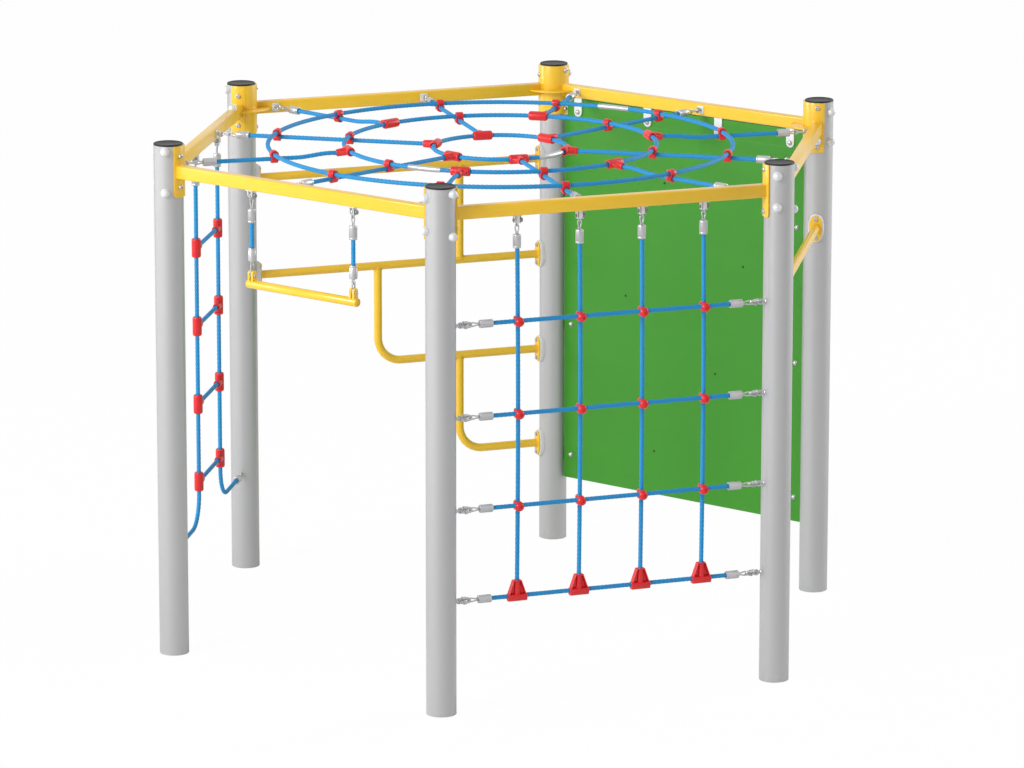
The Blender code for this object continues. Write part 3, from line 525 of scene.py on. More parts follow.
# %% Caps
cap_profile = [(0, 0.0045), (0.0515, 0.0045), (0.0525, 0.0050), (0.0531, 0.0061), (0.0546, 0.0062),
               (0.0562, 0.0054), (0.0570, 0.0040), (0.0571, 0.0010), (0.0566, 0.0004), (0.0522, 0.0004),
               (0.0520, -0.0010), (0.0505, -0.0190), (0.0495, -0.0210), (0.0470, -0.0215), (0.0465, -0.0010),
               (0, -0.0010)]
cap = turned([(radius, POST_H + height) for radius, height in cap_profile], steps=96)
done_on_all("cap_#_moulded", cap, standing, dark_plastic)
print("caps:", len(NUMBERS))

# %% [markdown]
# ## Screws, bolts and nuts
# A few fixings come back everywhere. A round head with a hexagon socket shows on the yellow plates. A dome
# nut covers the thread end, so that no child meets a sharp end. A small hexagon bolt holds the pads.

# %% Fixings


def screw_head(radius, height):
    """A button head with a socket; its seat is at z 0."""
    profile = [(0, height * 0.45), (radius * 0.42, height * 0.45), (radius * 0.44, height * 0.96)]
    profile += [(radius * 0.50, height), (radius * 0.72, height * 0.93), (radius * 0.90, height * 0.66)]
    profile += [(radius, height * 0.25), (radius, -0.001), (0, -0.001)]
    return turned(profile, steps=20)


def dome_nut(radius, height):
    """A domed cover nut on a washer that beds into the post's curve; its seat is at z 0."""
    profile = [(0, -0.003), (1.06 * radius, -0.003), (1.06 * radius, 0.10 * height)]
    profile.append((0.97 * radius, 0.12 * height))
    for step in range(8):
        across, rise = polar(1, 11 * step)
        profile.append((0.97 * radius * across, height * (0.30 + 0.70 * rise)))
    return turned([*profile, (0, height)], steps=28)


def hexagon(radius):
    """The corners of a hexagon."""
    return [polar(radius, 60 * corner) for corner in range(6)]


def hex_head(radius, height):
    """A hexagon bolt head on a washer."""
    head = plate(hexagon(radius), height * 0.25, height, edge=0.0006)
    washer = turned([(0, 0), (radius * 1.15, 0), (radius * 1.15, height * 0.22), (radius * 1.05, height * 0.26),
                     (0, height * 0.26)], steps=24)
    return one_piece([head, washer])


saddle_screw = screw_head(0.0098, 0.0064)
cover_nut = dome_nut(0.0168, 0.0200)
small_nut = dome_nut(0.0100, 0.009)
pad_bolt = hex_head(0.0080, 0.007)
print("fixings: 4 kinds")

# %% [markdown]
# ## Beams
# A beam is a rectangular tube with rounded corners, welded to a curved saddle plate at each end. The
# saddle wraps round the post and carries two bolts. It is cut from an outline seen from above, so it follows
# the post's curve exactly, and its lower corners are cut round by planes.

# %% Beam parts
SADDLE_LOW = BEAM_Z - 0.1
SADDLE_HIGH = POST_H - 0.0003
SADDLE_HALF, COLLAR_HALF = 27, 32.5
BEAD_R, BEAD_STEP, BEAD_LIFT, SEAM_WIDER = 0.0022, 0.004, 0.0004, 0.001


def saddle(axis_angle, half_angle, corner=0.010):
    """A curved plate round the Z axis, with its lower corners rounded."""
    steps = 20
    rim = arc((0, 0), SADDLE_OUT_R, axis_angle - half_angle, axis_angle + half_angle, steps)
    rim += arc((0, 0), SADDLE_IN_R, axis_angle + half_angle, axis_angle - half_angle, steps)
    cuts = []
    for sign in (-1, 1):
        at = radial(axis_angle + sign * half_angle)
        tangent = Z.cross(at) * sign
        middle = at * SADDLE_OUT_R - tangent * corner + Z * (SADDLE_LOW + corner)
        for tilt in (18, 36, 54, 72):
            away = tangent * math.cos(math.radians(tilt)) - Z * math.sin(math.radians(tilt))
            cuts.append((bpy.ops.mesh.bisect, {"plane_co": middle + away * corner, "plane_no": away,
                                               "clear_outer": True, "use_fill": True}))
    return on_whole_mesh(plate(rim, SADDLE_LOW, SADDLE_HIGH, edge=0.0009), cuts)


def weld_bead(points, radius=BEAD_R, ripple=0.18, pace=2.2, closed=True):
    """A rippled weld bead along points."""
    taper = [1 + ripple * math.sin(pace * index) for index in range(len(points))]
    return bar(points, radius, closed=closed, sides=1, taper=taper)


def filled(ring, step):
    """A closed ring with more points, spaced by about a step."""
    full = []
    for first, second in zip(ring, ring[1:] + ring[:1]):
        count = max(1, round(math.dist(first, second) / step))
        for index in range(count):
            share = index / count
            full.append((first[0] + (second[0] - first[0]) * share, first[1] + (second[1] - first[1]) * share))
    return full


# %% [markdown]
# One beam is modelled and copied to all six sides by their frames. The saddle of the next post is the first
# one turned by half a turn. The weld beads follow the tube's outline on the saddles.

# %% Beams
beam_start = SADDLE_IN_R + SADDLE_WALL / 2
beam_length = SIDE - 2 * beam_start
tube_outline = rounded_box(BEAM_W, BEAM_H, BEAM_CORNER, 5)
beam_box = set_down(plate(tube_outline, beam_start, beam_start + beam_length, edge=0.0002),
                    Matrix.Translation((0, 0, BEAM_Z)) @ YZ_SHEET)
second_saddle = set_down(saddle(180, SADDLE_HALF), Matrix.Translation((SIDE, 0, 0)))
beam_parts = [beam_box, saddle(0, SADDLE_HALF), second_saddle]
seam = filled(rounded_box(BEAM_W + SEAM_WIDER, BEAM_H + SEAM_WIDER, BEAM_CORNER, 2), BEAD_STEP)
for centre_x, way in ((0, 1), (SIDE, -1)):
    on_saddle = [Vector((centre_x + way * (math.sqrt(SADDLE_OUT_R ** 2 - y ** 2) + BEAD_LIFT), y, BEAM_Z + z))
                 for y, z in seam]
    beam_parts.append(weld_bead(on_saddle, ripple=0.16, pace=2.1))
done_on_all("beam_#_welded", one_piece(beam_parts), side_frame, yellow_coat)
print("beam length:", round(beam_length, 4))

# %% [markdown]
# Each saddle has two bolts. Neighbouring beams share a post, so their bolts lie at different heights, or
# they would cross inside the tube. The thread end comes out on the far side under a dome nut. Two more dome
# nuts follow pale spots in the photograph, one beside post 4 and one on a beam near post 6.

# %% Beam bolts
FIRST_BOLTS, SECOND_BOLTS = (1.976, 1.856), (1.996, 1.836)
EXTRA_NUT_ANGLE, EXTRA_NUT_Z, EXTRA_NUT_X = 239, 1.8635, 0.1710
heads = {number: [] for number in NUMBERS}
nuts = {number: [] for number in NUMBERS}
for number in NUMBERS:
    side = side_frame(number)
    for at_post, centre_x, way, heights in ((number, 0, 1, FIRST_BOLTS),
                                            (number % 6 + 1, SIDE, -1, SECOND_BOLTS)):
        for height in heights:
            head_at = Vector((centre_x + way * SADDLE_OUT_R, 0, height))
            nut_at = Vector((centre_x - way * POST_R, 0, height))
            heads[at_post].append(copy_to(saddle_screw, side @ pointing(head_at, X * way)))
            nuts[at_post].append(copy_to(cover_nut, side @ pointing(nut_at, X * -way)))
way = radial(EXTRA_NUT_ANGLE)
nuts[4].append(copy_to(cover_nut, pointing(post_place(4) + way * SADDLE_OUT_R + Z * EXTRA_NUT_Z, way)))
on_beam = Vector((EXTRA_NUT_X, 0, BEAM_Z + BEAM_H / 2))
nuts[6].append(copy_to(cover_nut, side_frame(6) @ pointing(on_beam, Z)))
for number in NUMBERS:
    done(f"beam_bolts_at_post_{number}", heads[number], bright_steel)
    done(f"cover_nuts_at_post_{number}", nuts[number], pale_zinc)
print("beam bolts:", 4 * len(NUMBERS))

# %% [markdown]
# ## Corner plates
# Between the two saddles sits a collar with a level gusset. It stiffens the corner and hides the joint.
# The gusset is an outline whose outer edge is an arc round the post.

# %% Corner plates
GUSSET_REACH = 0.114
GUSSET_CLEAR = 0.0205
GUSSET_HALF = 0.003
gusset_in_r = SADDLE_OUT_R - 0.001
first = math.degrees(math.asin(GUSSET_CLEAR / GUSSET_REACH))
inner = math.degrees(math.asin(GUSSET_CLEAR / gusset_in_r))
gusset_outline = arc((0, 0), GUSSET_REACH, -60 + first, 60 - first, 24)
gusset_outline += arc((0, 0), gusset_in_r, 60 - inner, -60 + inner, 20)
gusset = plate(gusset_outline, BEAM_Z - GUSSET_HALF, BEAM_Z + GUSSET_HALF, edge=0.0010)
corner_model = one_piece([saddle(0, COLLAR_HALF, corner=0.003), gusset])
done_on_all("corner_plate_#_welded", corner_model, post_frame, yellow_coat)
print("corner plates:", len(NUMBERS))

# %% [markdown]
# ## Rope ends
# A rope ends in a pressed ferrule. A bow of steel wire leaves the ferrule and hangs in an eye bolt, or in
# a second link. A closed curve with a round bevel makes each link, with true half circles at its tips.

# %% Links, eyes and ferrules
LINK_R, LINK_WIRE = 0.0075, 0.003
EYE_R, EYE_WIRE, EYE_SHANK = 0.009, 0.0035, 0.009
TOUCH = 0.0005
FIRST_TIP = EYE_SHANK + 2 * EYE_R - EYE_WIRE - TOUCH - LINK_WIRE
BOW_R, BOW_NECK, BOW_WIRE, BOW_IN, BOW_SEAT = 0.0068, 0.0036, 0.0029, 0.006, 0.0004
FERRULE_L = 0.0525
ROPE_INSET = 0.042
SHORT_REACH, SPOKE_REACH, LONG_REACH = 0.065, 0.0851, 0.093
QUICK_R, QUICK_WIRE, QUICK_START, QUICK_END, QUICK_BOW = 0.0082, 0.0046, 0.0185, 0.0610, 0.0033
ROPE_R = 0.0089


def half_turn(tip, run, across, radius):
    """Points of a link's end, from one leg round the tip to the other."""
    turns = [polar(1, 22.5 * step) for step in range(9)]
    return [tip + run * radius * (1 - rise) + across * radius * side for side, rise in turns]


def link_ring(start, end, hole_axis, radius=LINK_R, wire=LINK_WIRE):
    """A closed link between two tips of its centre line."""
    run = (end - start).normalized()
    across = hole_axis.cross(run)
    course = half_turn(start, run, across, radius) + half_turn(end, -run, -across, radius)
    return bar(course, wire, closed=True)


def bow(tip, root, hole_axis):
    """A wire eye at a tip, drawn in to a narrow neck that ends inside a ferrule."""
    run = (root - tip).normalized()
    across = hole_axis.cross(run)
    length = (root - tip).length
    leg = []
    for step in range(11):
        share = step / 10
        half = BOW_NECK + (BOW_R - BOW_NECK) * (1 + math.cos(math.pi * share)) / 2
        leg.append((BOW_R + (length * 0.80 - BOW_R) * (0.25 + 0.75 * share), half))
    leg.append((length + BOW_IN, BOW_NECK))
    first = [tip + run * along + across * half for along, half in reversed(leg)]
    last = [tip + run * along - across * half for along, half in leg]
    return bar(first + half_turn(tip, run, across, BOW_R) + last, BOW_WIRE)


def eye_bolt(surface, direction, hole_axis):
    """An eye on a shank with a round collar at the surface."""
    across = hole_axis.cross(direction)
    centre = surface + direction * (EYE_SHANK + EYE_R)
    circle = [centre + (direction * run + across * rise) * EYE_R
              for run, rise in (polar(1, 18 * step) for step in range(20))]
    shank = turned([(0, -0.0045), (0.0095, -0.0045), (0.0095, 0.0012), (0.0078, 0.0030), (0.0046, 0.0034),
                    (0.0043, 0.0100), (0, 0.0100)], steps=20)
    return [bar(circle, EYE_WIRE, closed=True), set_down(shank, pointing(surface, direction))]


def ferrule(start, direction):
    """A pressed sleeve whose rope end has a rolled collar."""
    profile = [(0, 0.0006), (0.0126, 0), (0.0145, 0.0008), (0.0153, 0.0024), (0.0156, 0.0040),
               (0.0156, 0.0430), (0.0150, 0.0438), (0.0150, 0.0448), (0.0155, 0.0456), (0.0156, 0.0470),
               (0.0156, 0.0500), (0.0148, 0.0518), (0.0130, 0.0525), (0.0100, 0.0520), (0.0094, 0.0470),
               (0, 0.0470)]
    return set_down(turned(profile, steps=28), pointing(start, direction))


def quick_link(surface, direction, hole_axis):
    """The turned link of a cross rope, with a hexagon barrel on each leg."""
    link_way = (hole_axis * 0.62 + direction.cross(hole_axis) * 0.78).normalized()
    across = link_way.cross(direction)
    start, end = surface + direction * QUICK_START, surface + direction * QUICK_END
    parts = [link_ring(start, end, link_way, QUICK_R, QUICK_WIRE)]
    for way, long in ((-1, 0.0120), (1, 0.0180)):
        foot = (start + end) / 2 + across * QUICK_R * way - direction * long / 2
        parts.append(set_down(hex_head(0.0072, long), pointing(foot, direction)))
    return parts


def rope_end(surface, direction, hole_axis, reach=SHORT_REACH):
    """The links and ferrule between an eye bolt and a rope."""
    root = surface + direction * reach
    side_way = direction.cross(hole_axis)
    parts = [ferrule(root, direction)]
    first_tip = surface + direction * FIRST_TIP
    if reach == SHORT_REACH:
        parts.append(bow(first_tip, root, hole_axis))
    elif reach == LONG_REACH:
        parts += quick_link(surface, direction, hole_axis)
        parts.append(bow(surface + direction * (QUICK_END - QUICK_WIRE - QUICK_BOW), root, side_way))
    else:
        meeting = surface + direction * ((FIRST_TIP + reach) / 2 + 0.001)
        parts.append(link_ring(first_tip, meeting + direction * LINK_WIRE, hole_axis))
        parts.append(bow(meeting - direction * (LINK_WIRE - BOW_SEAT), root, side_way))
    return parts


print("link tip at", round(FIRST_TIP, 4), "m from the surface")

# %% [markdown]
# ## Ropes
# A playground rope has six strands laid round a core. Its section is a ring with six lobes. The section
# runs along the rope's line while its tilt grows, so the strands wind round as they do on the real rope.
# On a closed ring the number of turns is a whole number, so that the strands meet.

# %% The rope maker
STRAND_PITCH = 0.100
ROPE_STEP = 0.010
SECTION_RADII = (0.0077, 0.0084, ROPE_R, 0.0084)
section_points = [(*polar(SECTION_RADII[index % 4], 15 * index), 0) for index in range(24)]
rope_section = line_object("rope_section", section_points, closed=True, flat=True)


def spaced(points, step, closed=False):
    """Points at an even distance along a line."""
    ring = points + [points[0]] if closed else points
    total = sum((b - a).length for a, b in zip(ring, ring[1:]))
    count = max(2, round(total / step))
    pace = total / count
    made = [ring[0].copy()]
    walked = 0.0
    for a, b in zip(ring, ring[1:]):
        length = (b - a).length
        while len(made) <= count and len(made) * pace <= walked + length + 1e-9:
            made.append(a.lerp(b, (len(made) * pace - walked) / length))
        walked += length
    return made[:-1] if closed else made


def rope(points, closed=False):
    """A laid rope along points."""
    path = spaced(points, ROPE_STEP, closed)
    turns = ROPE_STEP * len(path) / STRAND_PITCH
    if closed:
        turns = round(turns)
    piece = line_object("rope", path, closed)
    piece.data.bevel_mode = "OBJECT"
    piece.data.bevel_object = rope_section
    piece.data.use_fill_caps = not closed
    for index, point in enumerate(piece.data.splines[0].points):
        point.tilt = math.tau * turns * index / len(path)
    return outward(as_mesh(piece))


print("rope section points:", len(section_points))

# %% [markdown]
# ## Moulded connectors
# Red plastic parts join the ropes. A T-connector is a sleeve round one rope with a boss that takes the end
# of another. Wedge-shaped webs stiffen the boss, as moulders do where a round part meets a round part.

# %% T-connectors
tee_sleeve = turned([(0.0090, -0.0300), (0.0112, -0.0376), (0.0135, -0.0380), (0.0158, -0.0372),
                     (0.0174, -0.0350), (0.0180, -0.0315), (0.0180, 0.0315), (0.0174, 0.0350),
                     (0.0158, 0.0372), (0.0135, 0.0380), (0.0112, 0.0376), (0.0090, 0.0300),
                     (0.0090, -0.0300)], steps=32)
tee_boss = turned([(0.0092, 0.0120), (0.0092, 0.0460), (0.0104, 0.0500), (0.0128, 0.0500), (0.0141, 0.0485),
                   (0.0147, 0.0440), (0.0162, 0.0120), (0.0092, 0.0120)], steps=32)
tee_web = plate([(-0.0310, 0.0100), (-0.0300, 0.0178), (-0.0138, 0.0430), (0.0138, 0.0430),
                 (0.0300, 0.0178), (0.0310, 0.0100)], -0.0060, 0.0060, edge=0.0015)
tee_web = set_down(tee_web, XZ_SHEET)
tee_sleeve = set_down(tee_sleeve, frame_at(ORIGIN, Z, -Y, X))
tee_seams = [bar([Vector((x, sign * 0.0178, 0)) for x in (-0.033, -0.031, 0.031, 0.033)], 0.0009, sides=1,
                 taper=(0.2, 1, 1, 0.2)) for sign in (-1, 1)]
tee_model = one_piece([tee_sleeve, tee_boss, tee_web, *tee_seams])


def tee(centre, sleeve_axis, boss_axis):
    """A T-connector at a rope crossing."""
    return copy_to(tee_model, frame_at(centre, sleeve_axis, boss_axis.cross(sleeve_axis), boss_axis))


print("T-connector faces:", len(tee_model.data.polygons))

# %% [markdown]
# Where two roof ropes cross, an S-shaped clip holds them. It is a wide moulded hook round the ring rope and
# a second one round the spoke, turned a quarter. Each hook is drawn as the outline of an open ring and cut
# to its width. The backs of both hooks meet between the ropes.

# %% S-clips
RING_LIFT = 0.0170
HOOK_IN_R = 0.0092
HOOK_OUT_R = 0.0166
HOOK_WIDTH = 0.0275


def hook(mouth_angle, opening):
    """An open ring with rounded lips, cut to the hook's width along Z."""
    first = mouth_angle + opening / 2
    last = mouth_angle + 360 - opening / 2
    middle_r = (HOOK_IN_R + HOOK_OUT_R) / 2
    lip_r = (HOOK_OUT_R - HOOK_IN_R) / 2
    outline = arc((0, 0), HOOK_OUT_R, first, last, 36)
    outline += arc(polar(middle_r, last), lip_r, last, last + 180, 6)[1:-1]
    outline += arc((0, 0), HOOK_IN_R, last, first, 30)
    outline += arc(polar(middle_r, first), lip_r, first + 180, first + 360, 6)[1:-1]
    return plate(outline, -HOOK_WIDTH / 2, HOOK_WIDTH / 2, edge=0.0016)


upper_hook = set_down(hook(215, 80), Matrix.Translation(Z * RING_LIFT / 2) @ XZ_SHEET)
lower_hook = set_down(hook(35, 80), Matrix.Translation(Z * -RING_LIFT / 2) @ YZ_SHEET)
clip_model = one_piece([upper_hook, lower_hook])
print("clip height:", round(clip_model.dimensions.z * 1000, 1), "mm")

# %% [markdown]
# On the side net a round clamp holds the crossing ropes. It has a large dome with a screw at the front, and
# behind it a shell with a short knob. At the foot of each upright rope sits a tapered foot: a sleeve for the
# lowest rope, a thin web with a rim on each slope, and a tube for the upright rope.

# %% Ball clamps and cone feet
DOME_R, DOME_START, DOME_RISE = 0.0188, 0.0100, 0.0167
dome_arc = [polar(1, 10 * step) for step in range(8)]
dome_profile = [(0, -0.0060), (0.0178, -0.0060), (DOME_R, -0.0046)]
dome_profile += [(DOME_R * across, DOME_START + DOME_RISE * rise) for across, rise in dome_arc]
dome_profile += [(0.0047, 0.0262), (0.0041, 0.0247), (0, 0.0247)]
shell_profile = [(0, -0.0062), (0.0190, -0.0062), (0.0194, -0.0078), (0.0186, -0.0125), (0.0160, -0.0168),
                 (0.0125, -0.0190), (0, -0.0190)]
knob_profile = [(0, -0.0120), (0.0102, -0.0120), (0.0102, -0.0290), (0.0092, -0.0330), (0.0066, -0.0358),
                (0.0030, -0.0366), (0, -0.0366)]
ball_screw = set_down(screw_head(0.0036, 0.0022), Matrix.Translation((0, 0, 0.0248)))
knob = set_down(turned(knob_profile, steps=28), Matrix.Translation((0.0004, 0.0080, 0)))
ball_model = one_piece([turned(dome_profile, steps=40), turned(shell_profile, steps=40), knob, ball_screw])

FOOT_TOP = 0.0620
cone_tube = turned([(0.0090, FOOT_TOP - 0.0020), (0.0100, FOOT_TOP), (0.0118, FOOT_TOP),
                    (0.0126, FOOT_TOP - 0.0012), (0.0132, 0.0300), (0.0136, 0.0040), (0.0090, 0.0040),
                    (0.0090, FOOT_TOP - 0.0020)], steps=28)
web = [(-0.0340, 0.0040), (-0.0140, 0.0600), (0.0140, 0.0600), (0.0340, 0.0040)]
rim = [(0.0366, 0.0020), (0.0156, FOOT_TOP - 0.0008), (0.0118, FOOT_TOP - 0.0008), (0.0324, 0.0020)]
top_rim = [(-0.0152, 0.0560), (-0.0146, FOOT_TOP - 0.0010), (0.0146, FOOT_TOP - 0.0010), (0.0152, 0.0560)]
cone_parts = [cone_tube]
for outline, half, edge in ((web, 0.0030, 0.0008), ([(-x, z) for x, z in rim], 0.0125, 0.0010),
                            (rim, 0.0125, 0.0010), (top_rim, 0.0105, 0.0010)):
    cone_parts.append(set_down(plate(outline, -half, half, edge=edge), XZ_SHEET))
foot_half = arc((0.0055, -0.0085), 0.0110, -90, 0, 6) + arc((0.0135, 0.0035), 0.0030, 0, 70, 3)
foot_half.append((0.0062, 0.0104))
foot_section = foot_half + [(-x, z) for x, z in reversed(foot_half)]
cone_parts.append(set_down(plate(foot_section, -0.0372, 0.0372, edge=0.0018), YZ_SHEET))
cone_model = one_piece(cone_parts)
for name, model in (("ball", ball_model), ("cone", cone_model)):
    print(name, [round(value * 1000, 1) for value in model.dimensions])

# %% [markdown]
# ## Hangers under the beams
# A rope that hangs from a beam has a small clevis: a base plate, two cheeks and a pin with a head and a
# nut. The top link hangs on the pin. The nets' hangers are closed by a web on each side.

# %% Hanger brackets
PIN_Z = BEAM_BOTTOM - 0.021
PIN_R = 0.0040
HANG_FERRULE_Z = 1.8165
TOP_LINK_Z = PIN_Z + PIN_R + TOUCH + LINK_WIRE
TOP_LINK_END_Z = TOP_LINK_Z - 0.030
open_cheek = arc((0, 0), 0.0100, 180, 360, 12) + [(0.0135, 0.0210), (-0.0135, 0.0210)]
box_cheek = arc((0.0098, -0.0070), 0.0040, -90, 0, 4) + [(0.0138, 0.0210), (-0.0138, 0.0210)]
box_cheek += arc((-0.0098, -0.0070), 0.0040, 180, 270, 4)


def hanger_body(cheek_outline):
    """Base plate, two cheeks and the pin of a hanger."""
    cheeks = [set_down(plate(cheek_outline, -0.0022, 0.0022, edge=0.0007),
                       Matrix.Translation(X * sign * 0.0094) @ YZ_SHEET) for sign in (-1, 1)]
    base = plate(box_outline(0.0170, -0.0165, 0.0165), 0.0180, 0.0211, edge=0.0007)
    return [*cheeks, base, bar([X * -0.0130, X * 0.0125], PIN_R)]


webs = [set_down(plate(box_outline(0.0112, -0.0095, 0.0205), -0.0014, 0.0014, edge=0.0007),
                 Matrix.Translation(Y * sign * 0.0124) @ XZ_SHEET) for sign in (-1, 1)]
hanger_model = one_piece(hanger_body(open_cheek))
closed_hanger = one_piece(hanger_body(box_cheek) + webs)
hanger_bolt = one_piece([set_down(hex_head(0.0092, 0.0098), pointing(X * 0.0114, X)),
                         set_down(plate(hexagon(0.0070), 0, 0.0045, edge=0.0006), pointing(X * -0.0114, -X))])


def hanger(label, side, x, y=0.0, model=closed_hanger, ending="hanger"):
    """Fix a hanger and its bolt under a beam."""
    place = side @ Matrix.Translation((x, y, PIN_Z))
    done(f"{label}_{ending}", [copy_to(model, place)], pale_zinc)
    done(f"{label}_hanger_bolt", [copy_to(hanger_bolt, place)], dark_bolt)


def top_link(side, x, y=0.0):
    """The link that hangs on a hanger's pin."""
    start, end = (side @ Vector((x, y, height)) for height in (TOP_LINK_Z, TOP_LINK_END_Z))
    return link_ring(start, end, side.to_3x3() @ X)


def hanging_end(side, x, y=0.0):
    """The bow, ferrule and link under a hanger."""
    top = side @ Vector((x, y, TOP_LINK_END_Z + 2 * LINK_WIRE - BOW_SEAT))
    root = side @ Vector((x, y, HANG_FERRULE_Z))
    return [bow(top, root, side.to_3x3() @ Y), ferrule(root, -Z), top_link(side, x, y)]


print("pin height:", PIN_Z)

# %% [markdown]
# ## The roof net
# Twelve spokes run from the beams towards the middle. All pass under the outer ring. Every second one ends
# at the middle ring, and the others pass under it to the inner ring. The rings lie one rope's height above
# the spokes, so the odd spokes lift before they reach the middle ring.

# %% Spokes
OUTER_R, MIDDLE_R, INNER_R = 0.910, 0.612, 0.262
RISE_R, RISE_WAVE = 0.820, 0.14
RING_Z = BEAM_Z + RING_LIFT
TEE_LEAN = math.radians(8)
SOCKET_FLOOR = 0.012
BOSS_L = 0.050
SPOKES = range(1, 13)


def spoke_way(number):
    """The way outwards of a spoke."""
    return radial(115 + 30 * (number - 1))


def spoke_start(number):
    """A spoke's way outwards, where it meets the beam's inner face, and that face's way."""
    way_out = spoke_way(number)
    for side_number in NUMBERS:
        inward = side_frame(side_number).to_3x3() @ Y
        share = way_out.dot(-inward)
        if share > math.cos(math.radians(30)):
            distance = (SIDE * math.cos(math.radians(30)) - BEAM_W / 2) / share
            return way_out, way_out * distance + Z * BEAM_Z, inward
    raise ValueError("no beam for this spoke")


def rising_end(way_out):
    """The inner end of an odd spoke, which lifts to the middle ring."""
    boss_end = MIDDLE_R + BOSS_L * math.cos(TEE_LEAN)
    low_end = RING_LIFT - BOSS_L * math.sin(TEE_LEAN)
    points = []
    for step in range(15):
        share = step / 14
        fade = 1 - share
        lift = low_end * (1 - fade * fade * (3 - 2 * fade))
        lift += math.tan(TEE_LEAN) * RISE_WAVE * share * share * fade
        points.append(way_out * (RISE_R + (boss_end - RISE_R) * share) + Z * (BEAM_Z + lift))
    points.append(way_out * (MIDDLE_R + SOCKET_FLOOR) + Z * (RING_Z - SOCKET_FLOOR * math.tan(TEE_LEAN)))
    return points


for number in SPOKES:
    way_out, surface, inward = spoke_start(number)
    node = [f"spoke_rope_{number}"]
    route = [surface - way_out * (SPOKE_REACH + ROPE_INSET)]
    if number % 2 == 0:
        route.append(way_out * (INNER_R + SOCKET_FLOOR) + Z * BEAM_Z)
    else:
        route += rising_end(way_out)
    done(f"spoke_{number}_rope", [rope(route)], blue_yarn, stands_for=node)
    done(f"spoke_{number}_ferrule", rope_end(surface, -way_out, Z, SPOKE_REACH), bright_steel, stands_for=node)
print("spokes:", len(SPOKES))

# %% [markdown]
# The eye bolts of the spokes are screwed into the beams' inner faces. A square zinc plate spreads the load
# of each one. Bolts and plates are their own steel pieces beside the painted beams.

# %% Spoke eye bolts
spoke_eyes = []
eye_plates = []
for number in SPOKES:
    way_out, surface, inward = spoke_start(number)
    spoke_eyes += eye_bolt(surface, -way_out, way_out.cross(Z))
    eye_plate = plate(rounded_box(0.032, 0.032, 0.004, 4), -0.0003, 0.0030, edge=0.0008)
    eye_plates.append(set_down(eye_plate, pointing(surface, inward)))
done("spoke_eye_bolts", spoke_eyes, bright_steel)
done("spoke_eye_plates", eye_plates, pale_zinc)
print("eye bolts on beams:", len(SPOKES))

# %% [markdown]
# Each ring is one rope closed by a crimped sleeve. Its S-clips and T-connectors are a red piece of their
# own, so the two materials stay apart.

# %% Rings
SLEEVE_L = 0.140
ODD, EVEN = SPOKES[::2], SPOKES[1::2]
ring_plan = (("outer", OUTER_R, RING_Z, SPOKES, (), 39.0), ("middle", MIDDLE_R, RING_Z, EVEN, ODD, 221.0),
             ("inner", INNER_R, BEAM_Z, (), EVEN, 299.0))
for label, radius, height, clip_spokes, tee_spokes, sleeve_angle in ring_plan:
    node = [f"{label}_ring_rope"]
    count = round(math.tau * radius / ROPE_STEP)
    circle = [radial(360 * step / count) * radius + Z * height for step in range(count)]
    done(f"{label}_ring_of_rope", [rope(circle, closed=True)], blue_yarn, stands_for=node)
    span = math.degrees(SLEEVE_L / radius)
    bend = [radial(sleeve_angle - span / 2 + span * step / 8) * radius + Z * height for step in range(9)]
    sleeve = bar(bend, 0.0105, sides=5, taper=(0.90, 1, 1, 1, 1, 1, 1, 1, 0.90))
    done(f"{label}_ring_sleeve", [sleeve], bright_steel, stands_for=node)
    red = []
    for spoke in clip_spokes:
        way_out = spoke_way(spoke)
        middle = way_out * radius + Z * (RING_Z + BEAM_Z) / 2
        red.append(copy_to(clip_model, frame_at(middle, way_out, Z.cross(way_out), Z)))
    for spoke in tee_spokes:
        way_out = spoke_way(spoke)
        boss_way = way_out
        if label == "middle":
            boss_way = way_out * math.cos(TEE_LEAN) - Z * math.sin(TEE_LEAN)
        red.append(tee(way_out * radius + Z * height, Z.cross(way_out), boss_way))
    done(f"{label}_ring_connectors", red, red_plastic, stands_for=node)
print("rings:", len(ring_plan))

# %% [markdown]
# ## The side net
# Four upright ropes hang from the front beam, and four cross ropes run from post to post. The cross ropes
# pass on the outer side of the upright ropes, and each crossing has a ball clamp.

# %% Upright ropes of the side net
CROSSING = 0.00825
NET_X = (0.305, 0.555, 0.805, 1.055)
NET_Z = (0.428, 0.782, 1.136, 1.490)
NET_FOOT_Z = 0.440
NET_ROPE_TOP = HANG_FERRULE_Z - ROPE_INSET
DRIFT, BOW_OUT, BOW_L = 0.0015, 0.0040, 1.34
BALL_DROP = 0.0045
net_side = side_frame(2)


def drift(height):
    """How far an upright rope hangs beside its line at a height."""
    return DRIFT + BOW_OUT * math.sin(math.pi * (height - NET_FOOT_Z) / BOW_L)


for column, x in enumerate(NET_X, start=1):
    label = f"net_upright_{column}"
    node = [f"net_upright_rope_{column}"]
    heights = [NET_FOOT_Z + (NET_ROPE_TOP - NET_FOOT_Z) * step / 12 for step in range(12, -1, -1)]
    line = [net_side @ Vector((x + drift(height), CROSSING, height)) for height in heights]
    done(f"{label}_rope", [rope(line)], blue_yarn, stands_for=node)
    done(f"{label}_links", hanging_end(net_side, x, CROSSING), bright_steel, stands_for=node)
    balls = [Matrix.Translation((x + drift(height), 0, height - BALL_DROP)) for height in NET_Z[1:]]
    red = [copy_to(ball_model, net_side @ ball @ XZ_SHEET) for ball in balls]
    red.append(copy_to(cone_model, net_side @ Matrix.Translation((x + DRIFT, CROSSING, NET_Z[0]))))
    done(f"{label}_clamps", red, red_plastic, stands_for=node)
    hanger(label, net_side, x, CROSSING)
print("upright ropes:", len(NET_X))

# %% [markdown]
# A cross rope ends at both posts in a wire eye on a screwed link, because the span must be adjustable. The
# eye bolts stand on the posts' round surface, a little beside the middle line.

